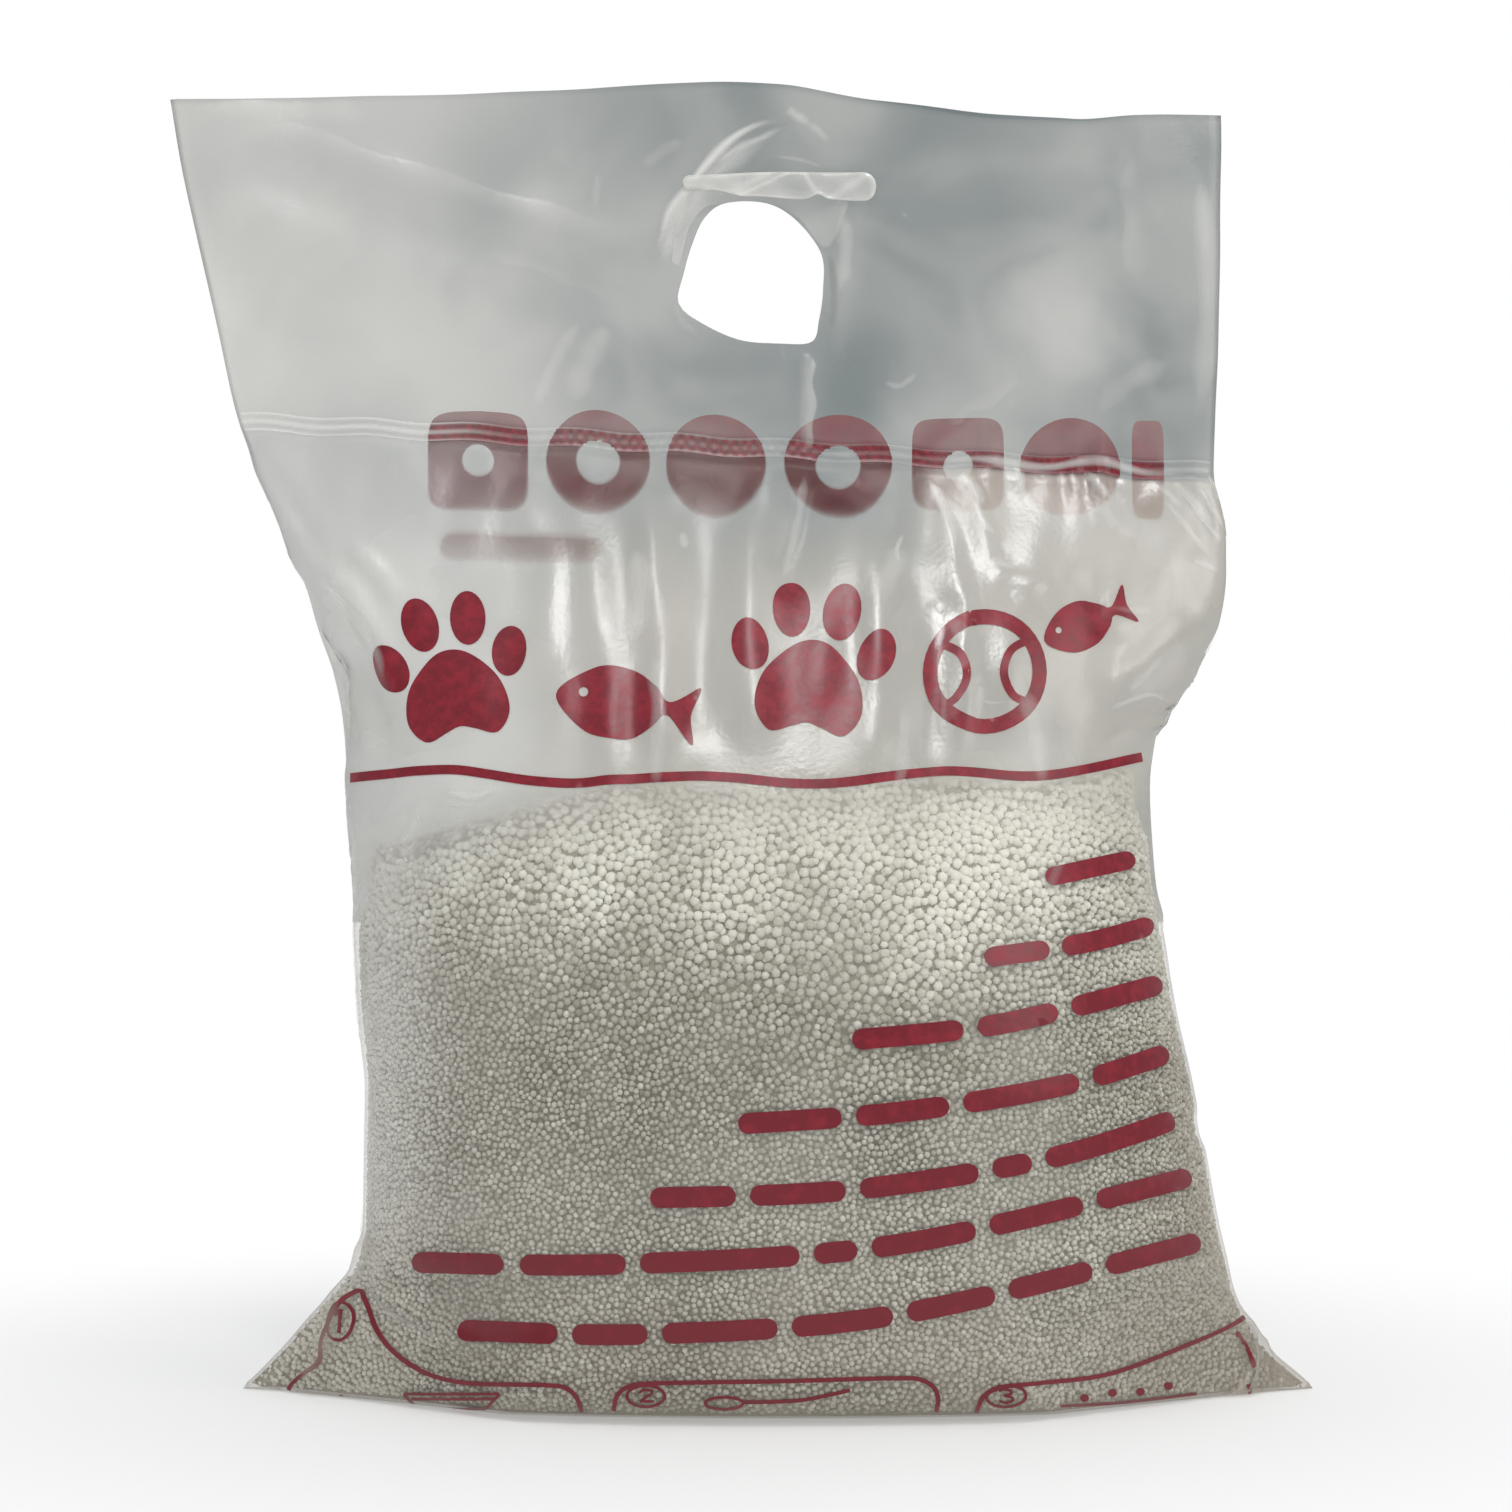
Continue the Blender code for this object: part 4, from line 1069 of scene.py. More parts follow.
def room_at(row, col):
    """How far the litter reaches in from the film before it meets the other layer, in the thin ears."""
    s = np.clip(at_grid(s_all, row, col), -0.9999, 0.9999)
    k = np.clip((row - BASE_ROWS) / BODY_ROWS, 0, 1)
    x, z, f, b = section(k, s)
    return np.minimum(f, b) + 0.02 * smooth(0.045, 0.075, z)


def heap(x, y):
    """The litter's upper surface."""
    return along(LITTER_TOP, x, 1) - 0.004 * (np.abs(y) / 0.07) ** 2 + 0.0025 * np.sin(x * 38 + 1) * np.cos(y * 45) + 0.0035


def litter_body():
    cols, levels = 150, 70
    c = np.arange(cols) * (C / cols)
    top = top_row(c)
    rings = []
    for q in np.linspace(0, 1, levels + 1):
        row = BASE_ROWS + 1.0 + (top - BASE_ROWS - 1.0) * q
        p = litter_skin(row, c, np.minimum(0.0042, 0.40 * room_at(row, c)))
        rings.append(p)
    rings = np.array(rings)
    half = cols // 2
    rings[:, 0, 0] += 0.002
    rings[:, half, 0] -= 0.002
    verts = rings.reshape(-1, 3)
    ids = np.arange((levels + 1) * cols).reshape(levels + 1, cols)
    nx = np.roll(ids, -1, 1)
    faces = [np.stack([ids[:-1], nx[:-1], nx[1:], ids[1:]], -1).reshape(-1, 4)]
    base = len(verts)
    extra = []
    depth = 24
    for ring, floor in ((rings[-1], False), (rings[0], True)):
        f, b = ring[: half + 1], np.concatenate([ring[half:], ring[:1]])[::-1]
        grid = []
        for d in range(1, depth):
            t = d / depth
            p = f + (b - f) * t
            if floor:
                p[:, 2] = f[:, 2] + (b[:, 2] - f[:, 2]) * t - 0.0
                p[:, 2] = np.minimum(p[:, 2], 0.0016)
            else:
                e = np.sin(np.pi * t) ** 0.5
                p[:, 2] = p[:, 2] * (1 - e) + heap(p[:, 0], p[:, 1]) * e
            grid.append(p)
        grid = np.array(grid)
        row_f = (ids[0] if floor else ids[-1])[: half + 1]
        row_b = np.concatenate([(ids[0] if floor else ids[-1])[half:], (ids[0] if floor else ids[-1])[:1]])[::-1]
        inner = base + np.arange((depth - 1) * (half + 1)).reshape(depth - 1, half + 1)
        table = np.concatenate([row_f[None], inner, row_b[None]])
        table[:, 0], table[:, -1] = row_f[0], row_f[-1]
        extra.append(grid.reshape(-1, 3))
        base += grid.size // 3
        q = np.stack([table[:-1, :-1], table[:-1, 1:], table[1:, 1:], table[1:, :-1]], -1).reshape(-1, 4)
        if floor:
            q = q[:, ::-1]
        faces.append(q)
    verts = np.concatenate([verts, *extra])
    faces = np.concatenate(faces)
    tris = np.concatenate([faces[:, [0, 1, 2]], faces[:, [0, 2, 3]]])
    ok = (tris[:, 0] != tris[:, 1]) & (tris[:, 1] != tris[:, 2]) & (tris[:, 0] != tris[:, 2])
    # the bed is coloured darker than the granules: painted shade for the gaps between them
    body = mesh_object("litter_body", verts, tris[ok], litter_material("litter_bed", (0.20, 0.184, 0.145), (0.48, 0.458, 0.385), 330.0, 0.0012), {"shade": np.full(len(verts), 0.5)})
    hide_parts("litter_fill")
    return body


def icosahedron():
    g = (1 + 5**0.5) / 2
    v = np.array([(-1, g, 0), (1, g, 0), (-1, -g, 0), (1, -g, 0), (0, -1, g), (0, 1, g), (0, -1, -g), (0, 1, -g), (g, 0, -1), (g, 0, 1), (-g, 0, -1), (-g, 0, 1)], float)
    f = np.array([(0, 11, 5), (0, 5, 1), (0, 1, 7), (0, 7, 10), (0, 10, 11), (1, 5, 9), (5, 11, 4), (11, 10, 2), (10, 7, 6), (7, 1, 8), (3, 9, 4), (3, 4, 2), (3, 2, 6), (3, 6, 8), (3, 8, 9), (4, 9, 5), (2, 4, 11), (6, 2, 10), (8, 6, 7), (9, 8, 1)])
    return v / np.linalg.norm(v[0]), f


def granules(name, centres, radius, mat, shade):
    """Loose pebbles as one piece: each is turned, squashed and dented on its own."""
    v, f = icosahedron()
    m = len(centres)
    q = rng.normal(size=(m, 4))
    q /= np.linalg.norm(q, axis=1, keepdims=True)
    w, x, y, z = q.T
    rot = np.stack([1 - 2 * (y * y + z * z), 2 * (x * y - z * w), 2 * (x * z + y * w), 2 * (x * y + z * w), 1 - 2 * (x * x + z * z), 2 * (y * z - x * w), 2 * (x * z - y * w), 2 * (y * z + x * w), 1 - 2 * (x * x + y * y)], -1).reshape(m, 3, 3)
    size = rng.uniform(0.80, 1.0, (m, 1, 3)) * radius[:, None, None]
    dents = rng.uniform(0.92, 1.0, (m, 12, 1))
    pts = np.einsum("mij,mkj->mki", rot, v[None] * dents * size) + centres[:, None]
    faces = (f[None] + 12 * np.arange(m)[:, None, None]).reshape(-1, 3)
    side = math.ceil(math.sqrt(m))
    cell = np.stack([np.arange(m) % side, np.arange(m) // side], -1)
    corner = np.array([(0.25, 0.25), (0.75, 0.25), (0.5, 0.75)])
    uv = ((cell[:, None] + corner[None]) / side)[:, None].repeat(20, 1)
    obj = mesh_object(name, pts.reshape(-1, 3), faces, mat, {"shade": np.repeat(shade, 12)}, uv.reshape(-1, 2))
    return obj


def pack_layer(row_low, row_high, col_low, col_high, scale_of, sizes, seed):
    """Rows and columns of pebbles thrown one by one where there's still room, the big ones first."""
    r = np.random.default_rng(seed)
    width, height = (col_high - col_low) * 3.0, (row_high - row_low) * 3.0
    cell = 3.2
    held = {}
    out = []
    for size, tries in sizes:
        m = int(width * height * tries / size**2)
        u, v = r.uniform(0, width, m), r.uniform(0, height, m)
        row, col = row_low + v / 3.0, col_low + u / 3.0
        rad = size * scale_of(row, col)
        use = rad > 0
        for x, y, q in zip(u[use].tolist(), v[use].tolist(), rad[use].tolist()):
            i, j = int(x / cell), int(y / cell)
            clear_of = True
            for di in (-1, 0, 1):
                for dj in (-1, 0, 1):
                    for a, b, c in held.get((i + di, j + dj), ()):
                        if (a - x) ** 2 + (b - y) ** 2 < (0.70 * (c + q)) ** 2:
                            clear_of = False
                            break
                    if not clear_of:
                        break
                if not clear_of:
                    break
            if clear_of:
                held.setdefault((i, j), []).append((x, y, q))
                out.append((row_low + y / 3.0, col_low + x / 3.0, q))
    return np.array(out).T


# painted highlights: pale streaks laid on the front granules where the film over them catches the light, as line in
# pixels and width
PAINTED_HIGHLIGHT_STREAKS = [
    ([(574, 770), (586, 850), (602, 960)], 26), ([(632, 790), (640, 880)], 16), ([(745, 780), (748, 870), (730, 970)], 44),
    ([(822, 800), (812, 880)], 20), ([(872, 780), (862, 850), (836, 940)], 22), ([(968, 780), (950, 880), (900, 1040)], 46),
    ([(1075, 780), (1060, 860), (1025, 950)], 34), ([(450, 850), (470, 900)], 18),
]


def tone(p):
    """How pale the litter is at a point: painted shade low on the left, painted light towards the top and along painted
    highlight streaks; darker at the lower right, and paler at the left edge, towards the bottom and at the back.
    """
    px = to_pixel(p)
    x, y = px[..., 0], px[..., 1]
    t = 0.36 + 0.34 * (1 - smooth(850, 1040, y - 0.16 * (x - 700)))
    # painted highlight streaks
    for line, width in PAINTED_HIGHLIGHT_STREAKS:
        r, at, side = dist_to_line(px, line)
        t += 0.42 * np.exp(-((r / width) ** 2)) * (1 - smooth(0.6, 1, at)) * (p[..., 1] < 0.02)
    t -= 0.22 * smooth(1215, 1290, x) * smooth(1290, 1350, y)
    t += 0.08 * smooth(1120, 1300, y)
    t += 0.40 * (1 - smooth(385, 478, x)) * (p[..., 1] < 0.02)
    t -= 0.16 * smooth(1150, 1250, x + 0.25 * (y - 1200)) * smooth(1000, 1200, y)
    t += 0.10 * (p[..., 1] > 0.02)
    return t


def scatter():
    """The granules against the film all round, coarser towards the top, and those of the heap."""
    mats = litter_material("granule", (0.275, 0.247, 0.188), (0.87, 0.86, 0.785), 500.0, 0.0003)

    def scale_of(low_scale):
        def scale(row, col):
            p = at_grid(S, row, col)
            x, z = p[..., 0], p[..., 2]
            g = low_scale + (1.72 - low_scale) * smooth(0.105, 0.215, z + 0.012 * np.sin(x * 31) - 0.05 * smooth(-0.04, -0.16, x) - 0.03 * smooth(0.08, 0.15, x))
            return np.where(row < top_row(col) - 0.5, g, 0)
        return scale

    sizes = [(1.62, 0.5), (1.45, 0.9), (1.30, 1.4), (1.16, 1.2)]
    made = []
    for name, a, b, low_scale, seed in (("granules_front", 0, NU, 1.0, 31), ("granules_back", NU, C, 1.42, 32)):
        row, col, radius = pack_layer(BASE_ROWS + 0.6, SEAL_ROW, a, b, scale_of(low_scale), sizes, seed)
        radius = radius * 1e-3
        room = room_at(row, col)
        radius = np.minimum(radius, (room - 0.0004) * 0.6)
        ok = radius > 0.00042
        row, col, radius, room = row[ok], col[ok], radius[ok], room[ok]
        p = litter_skin(row, col, np.minimum(0.0007 + radius + rng.uniform(0, 0.0007, len(row)), 0.75 * room))
        p[:, 2] = np.maximum(p[:, 2], 0.0010 + radius)
        shade = np.clip(tone(p) + rng.normal(0, 0.13, len(row)), 0.02, 1)
        made.append((name, p, radius, shade))
    # a second layer shows in the gaps of the front
    row, col, radius = pack_layer(BASE_ROWS + 6, SEAL_ROW, 2, NU - 2, scale_of(1.2), [(1.75, 0.8), (1.5, 1.2), (1.3, 1.0)], 33)
    radius = radius * 1e-3
    ok = room_at(row, col) > 0.009
    row, col, radius = row[ok], col[ok], radius[ok]
    p = litter_skin(row, col, 0.0031 + 0.8 * radius)
    p[:, 2] = np.maximum(p[:, 2], 0.0014 + radius)
    made.append(("granules_inner", p, radius, np.clip(tone(p) + rng.normal(-0.02, 0.13, len(row)), 0.02, 1)))
    # the heap's surface, from the front wall over to the back
    ring = np.arange(NU + 1).astype(float)
    f = litter_skin(top_row(ring), ring, 0.0030)
    bk = litter_skin(top_row(C - ring), C - ring, 0.0030)
    deep = np.linalg.norm(bk - f, axis=1)
    u = []
    for j in range(NU):
        n = rng.poisson(deep[j] * 2.95e-3 / 1.02e-5)
        u.append(np.stack([j + rng.uniform(0, 1, n), rng.uniform(0, 1, n)], -1))
    u = np.concatenate(u)
    held, keep = {}, []
    for k, (c, t) in enumerate(u.tolist()):
        j = int(c)
        x, y = f[j, 0] + (bk[j, 0] - f[j, 0]) * t + 0.0029 * (c - j), f[j, 1] + (bk[j, 1] - f[j, 1]) * t
        a, b = int(x // 0.004), int(y // 0.004)
        if all((x - p) ** 2 + (y - q) ** 2 > 0.0027**2 for i in (-1, 0, 1) for m in (-1, 0, 1) for p, q in held.get((a + i, b + m), ())):
            held.setdefault((a, b), []).append((x, y))
            keep.append(k)
    c, t = u[keep].T
    j = np.floor(c).astype(int)
    w = (c - j)[:, None]
    pf, pb = f[j] * (1 - w) + f[j + 1] * w, bk[j] * (1 - w) + bk[j + 1] * w
    p = pf + (pb - pf) * t[:, None]
    e = np.sin(np.pi * t) ** 0.5
    p[:, 2] = p[:, 2] * (1 - e) + heap(p[:, 0], p[:, 1]) * e + rng.uniform(-7e-4, 5e-4, len(p))
    radius = rng.uniform(1.5, 2.4, len(p)) * 1e-3
    ok = (deep[j] > 0.012)
    made.append(("granules_heap", p[ok], radius[ok], np.clip(rng.normal(0.8, 0.14, int(ok.sum())), 0.05, 1)))
    # a piece holds at most nine thousand
    pieces = []
    for name, p, radius, shade in made:
        parts = math.ceil(len(p) / 9000)
        order = np.argsort(p[:, 2])
        for k, part in enumerate(np.array_split(order, parts)):
            pieces.append(granules(name if parts == 1 else name + "_" + str(k + 1), p[part], radius[part], mats, shade[part]))
    return pieces


# ---------------------------------------------------------------------------------------------
# the tongue and the seal
# ---------------------------------------------------------------------------------------------
def flat_values(n, veil_is, haze_is=1.0, painted_shade_is=0.0, frost_is=0.0):
    return {"veil": np.full(n, veil_is), "haze": np.full(n, haze_is), "painted_shade": np.full(n, painted_shade_is), "frost": np.full(n, frost_is)}


def tongue():
    """The punched tongue: folded forward over the hole's upper edge and rolled up into a flat strip with round ends, and
    the web of film by which it hangs on."""
    across, round_ = 120, 28
    u = np.linspace(0, 1, across + 1)
    x = -0.0305 + 0.0802 * u
    left, right = np.clip(u / 0.035, 0, 1), np.clip((1 - u) / 0.065, 0, 1)
    ends = np.sqrt(np.clip(1 - (1 - left) ** 2, 0, 1) * np.clip(1 - (1 - right) ** 2, 0, 1))
    ends[0] = ends[-1] = 0.02
    top = 0.5056 - 0.0004 * np.cos(u * 7) - 0.0003 * smooth(0.9, 1.0, u)
    high = 0.0056 + 0.0006 * smooth(0, 0.15, u) + 0.0036 * smooth(0.14, 0.34, u) + 0.0014 * smooth(0.34, 0.60, u)
    high -= 0.0021 * np.exp(-(((u - 0.70) / 0.040) ** 2)) - 0.0006 * smooth(0.78, 0.90, u)
    low = top - high
    mid, half = (top + low) / 2, high / 2 * ends
    deep = (0.0013 + 0.0003 * np.sin(u * 9 + 1)) * np.clip(ends, 0.15, 1)
    lean = -along(TOP_LEAN, x, 1) * ((mid - 0.392) / 0.150) ** 1.6
    a = np.linspace(0, 2 * np.pi, round_, endpoint=False)
    crook = u[:, None] - 0.36 - 0.22 * np.sin(a)[None]
    flute = (0.0005 * np.exp(-((crook / 0.045) ** 2)) - 0.0004 * np.exp(-(((u[:, None] - 0.80 - 0.10 * np.sin(a)[None]) / 0.05) ** 2))) * np.cos(a)[None]
    z = mid[:, None] + half[:, None] * np.sin(a)[None]
    y = (lean - 0.0034)[:, None] - deep[:, None] * np.cos(a)[None] - flute * ends[:, None]
    pts = np.stack([np.broadcast_to(x[:, None], z.shape), y, z], -1)
    ids = np.arange(pts.shape[0] * round_).reshape(pts.shape[:2])
    nx = np.roll(ids, -1, 1)
    faces = np.stack([ids[:-1], ids[1:], nx[1:], nx[:-1]], -1).reshape(-1, 4)
    tris = [faces[:, [0, 1, 2]], faces[:, [0, 2, 3]]]
    for end, turn in ((0, 1), (-1, -1)):
        ring = ids[end]
        fan = np.array([(ring[0], ring[k + 1], ring[k]) for k in range(1, round_ - 1)])
        tris.append(fan[:, ::turn])
    n = pts.size // 3
    values = flat_values(n, 0.62)
    rolled = u[:, None] + 0 * a[None]
    up = np.sin(a)[None] + 0 * u[:, None]
    # painted highlights: the strip is made more opaque, and so paler, along its upper and lower edges, at its ends and
    # along four slanting fold lines; it is a little clearer past its middle
    v = 0.34 + 0.26 * np.abs(up) ** 8 + 0.18 * (smooth(0.955, 0.985, rolled) + 1 - smooth(0.01, 0.05, rolled))
    v += 0.03 * np.sin(rolled * 31 + 2 * up) - 0.10 * np.exp(-(((rolled - 0.60) / 0.10) ** 2))
    for centre, slope, width, much in ((0.42, 0.13, 0.022, 0.20), (0.34, 0.10, 0.045, 0.12), (0.86, 0.11, 0.040, 0.14), (0.665, -0.035, 0.014, 0.20)):
        v += much * np.exp(-(((rolled - centre - slope * up) / width) ** 2))
    values["veil"] = np.clip(v, 0, 0.8).ravel()
    obj = mesh_object("carry_tongue", pts.reshape(-1, 3), np.concatenate(tris), film_mat, values)
    web = Print(-1, 0.0006)
    web.shape(smooth_path([(694, 190), (684, 208), (676, 236), (672, 262), (678, 266), (683, 250), (690, 226), (703, 208), (724, 203), (764, 202), (797, 217), (822, 246), (833, 242), (842, 222), (846, 198), (800, 190), (740, 188)], True, 5))
    obj = web.object("carry_tongue_web", film_mat, flat_values(web.count, 0.22))


CREASES = [
    # line in the photograph's pixels, width in pixels, how pale (painted highlight and whitened film), how dark
    # (painted shade)
    ([(225, 125), (330, 160), (430, 195), (560, 232), (650, 262)], 30, 0.20, 0, -1),
    ([(180, 112), (260, 108), (400, 122)], 26, 0.16, 0),
    ([(470, 232), (560, 262), (640, 300)], 22, 0.14, 0, 1),
    ([(655, 264), (663, 238), (672, 212), (688, 190), (706, 166), (732, 140), (762, 124), (796, 118)], 9, 0.80, 0),
    ([(662, 262), (672, 232), (688, 202), (714, 176), (745, 150), (790, 128)], 20, 0.34, 0),
    ([(712, 168), (738, 150), (764, 137), (790, 124)], 6, 0.42, 0),
    ([(690, 192), (678, 214), (668, 246), (664, 268)], 13, 0.30, 0),
    ([(752, 158), (790, 148), (832, 158)], 30, 0.08, 0.75),
    ([(770, 156), (800, 160), (832, 170)], 5, 0.20, 0),
    ([(786, 108), (800, 118), (812, 124)], 10, 0.34, 0),
    ([(806, 122), (820, 132), (832, 146)], 8, 0.20, 0),
    ([(640, 170), (664, 150), (690, 136)], 16, 0.16, 0),
    ([(600, 170), (596, 196), (600, 214)], 10, 0.14, 0),
    ([(800, 345), (800, 400), (800, 463)], 17, 0.46, 0, -1),
    ([(818, 348), (815, 400), (814, 460)], 10, 0.10, 0.8),
    ([(612, 318), (590, 360), (566, 412)], 26, 0.24, 0),
    ([(588, 312), (560, 352), (530, 420)], 14, 0.18, 0),
    ([(842, 206), (846, 240), (842, 280), (836, 300)], 14, 0.26, 0),
    ([(1000, 250), (1040, 310), (1125, 390)], 90, 0.18, 0),
    ([(930, 420), (960, 400), (1000, 380), (1010, 360)], 22, 0.16, 0, 1),
    ([(880, 380), (900, 386), (920, 370)], 7, 0.22, 0),
    ([(1150, 130), (1142, 210), (1150, 300)], 26, 0.12, 0, 1),
    ([(1196, 150), (1206, 300), (1196, 440)], 20, 0.18, 0),
    ([(1090, 420), (1130, 380), (1180, 362)], 26, 0.16, 0),
    ([(900, 208), (908, 222)], 5, 0.26, 0),
    ([(826, 244), (833, 270), (834, 310), (828, 343)], 8, 0.28, 1),
    ([(824, 330), (834, 352), (860, 378)], 12, 0.16, 0.9),
    ([(843, 200), (842, 222), (832, 246)], 6, 0.30, 0.5),
    ([(700, 345), (760, 352), (800, 350)], 8, 0.10, 0.6),
    ([(674, 300), (680, 318), (700, 338)], 8, 0.20, 0.3),
    # under the seal
    ([(806, 466), (798, 520), (780, 585)], 10, 0.22, 0),
    ([(764, 474), (768, 520), (773, 580)], 44, 0.13, 0.7),
    ([(935, 468), (960, 459), (1000, 463), (1050, 466), (1100, 462), (1150, 472), (1212, 478)], 9, 0.5, 0),
    ([(1012, 466), (1022, 480), (1014, 496)], 8, 0.4, 0),
    ([(926, 474), (945, 510), (953, 545), (947, 565)], 9, 0.42, 0),
    ([(1085, 472), (1100, 490), (1114, 502)], 8, 0.42, 0),
    ([(1172, 482), (1195, 505), (1214, 534)], 8, 0.38, 0),
    ([(1152, 482), (1172, 500), (1182, 514)], 7, 0.32, 0),
    ([(930, 600), (941, 625), (935, 655)], 9, 0.36, 0),
    ([(982, 562), (1010, 567), (1030, 556)], 9, 0.36, 0),
    ([(598, 575), (612, 604), (606, 650)], 18, 0.22, 0),
    ([(634, 545), (641, 590), (632, 650)], 20, 0.34, 0),
    ([(681, 528), (686, 552)], 8, 0.28, 0),
    ([(655, 650), (659, 720), (655, 800)], 16, 0.26, 0),
    ([(905, 540), (880, 600), (870, 650)], 24, 0.22, 0),
    ([(1085, 490), (1150, 540), (1200, 590)], 40, 0.12, 0),
    ([(240, 436), (300, 470), (340, 560), (352, 620)], 40, 0.10, 0),
    ([(700, 480), (704, 560), (706, 700)], 30, 0.10, 0.6),
    ([(905, 700), (902, 760), (896, 800)], 16, 0.22, 0),
    ([(1020, 680), (1035, 740), (1045, 800)], 22, 0.20, 0),
    # the dent at the left shoulder
    ([(322, 640), (333, 690), (337, 748)], 26, 0.34, 0),
    ([(312, 575), (345, 600), (378, 650), (388, 694)], 11, 0.34, 0),
    ([(297, 590), (322, 640), (331, 664)], 11, 0.16, 0.8),
    ([(345, 600), (366, 650), (376, 700)], 14, 0.12, 0.6),
    ([(445, 792), (478, 797), (500, 783)], 7, 0.42, 0),
    ([(440, 803), (482, 805)], 6, 0.25, 0),
    ([(400, 850), (415, 826), (424, 803)], 8, 0.30, 0),
    ([(352, 780), (358, 900), (362, 1040)], 8, 0.25, 0),
    ([(960, 474), (975, 492), (984, 512)], 10, 0.40, 0),
    ([(974, 500), (980, 520), (996, 540)], 7, 0.36, 0),
    ([(1000, 540), (1008, 552), (1004, 566)], 9, 0.42, 0),
    ([(1080, 478), (1094, 486), (1092, 498), (1106, 506)], 5, 0.36, 0.4),
    ([(1092, 500), (1108, 520), (1118, 534)], 12, 0.20, 0),
    ([(1180, 490), (1202, 520), (1222, 548)], 5, 0.34, 0),
    ([(1196, 486), (1212, 512), (1224, 536)], 5, 0.30, 0),
    ([(1162, 500), (1190, 536), (1214, 562)], 6, 0.24, 0),
    ([(1208, 474), (1214, 490), (1216, 506)], 6, 0.38, 0),
    ([(930, 480), (940, 505), (950, 540), (956, 575)], 4, 0.44, 0),
    ([(937, 590), (946, 640), (950, 700), (952, 770)], 12, 0.22, 0, 1),
    ([(905, 532), (896, 552), (902, 566)], 5, 0.30, 0),
    ([(980, 700), (996, 704), (1008, 700)], 5, 0.26, 0),
    ([(984, 718), (1000, 722)], 5, 0.22, 0),
    ([(1104, 606), (1140, 612), (1160, 608)], 8, 0.12, 0),
    ([(1190, 560), (1206, 566), (1220, 574)], 6, 0.24, 0),
    ([(1180, 548), (1186, 590), (1180, 630)], 16, 0.14, 0, 1),
    # the flap over the waist
    ([(1106, 712), (1130, 700), (1152, 694), (1176, 706)], 5, 0.34, 0),
    ([(1112, 704), (1128, 684), (1136, 660)], 7, 0.24, 0.5),
    ([(1126, 694), (1150, 668), (1166, 650)], 7, 0.26, 0),
    ([(1168, 706), (1184, 696), (1198, 680)], 6, 0.30, 0),
    ([(1136, 640), (1120, 650), (1110, 690)], 8, 0.22, 0),
    ([(1150, 719), (1180, 706), (1205, 680), (1222, 640)], 12, 0.32, 0),
    ([(1147, 729), (1168, 724), (1182, 716)], 8, 0.28, 0.9),
    ([(1120, 700), (1160, 670), (1190, 630)], 30, 0.14, 0),
    # where the film lies on the granules and catches the light
    ([(577, 770), (588, 850), (600, 945)], 12, 0.22, 0),
    ([(735, 790), (738, 870), (724, 950)], 18, 0.10, 0),
    ([(872, 790), (862, 850), (836, 930)], 12, 0.18, 0),
    ([(968, 790), (950, 880), (905, 1010)], 16, 0.14, 0),
    ([(1075, 790), (1060, 860), (1030, 930)], 14, 0.12, 0),
    ([(400, 1190), (450, 1215), (520, 1205)], 40, 0.10, 0),
    # over the ears
    ([(366, 1276), (376, 1297), (400, 1316), (424, 1328), (446, 1344)], 4, 0.80, 0.8),
    ([(358, 1212), (375, 1256), (407, 1302), (450, 1330)], 8, 0.26, 0),
    ([(300, 1388), (330, 1340), (344, 1290)], 14, 0.20, 0),
    ([(1226, 1312), (1246, 1330), (1254, 1352), (1249, 1380), (1228, 1406)], 3, 0.60, 0.55),
    ([(1247, 1366), (1241, 1380), (1232, 1392), (1220, 1405)], 4, 0.36, 0),
    ([(1262, 1350), (1290, 1368), (1304, 1384)], 12, 0.20, 0),
    ([(1120, 884), (1150, 905), (1158, 930)], 9, 0.20, 0),
]


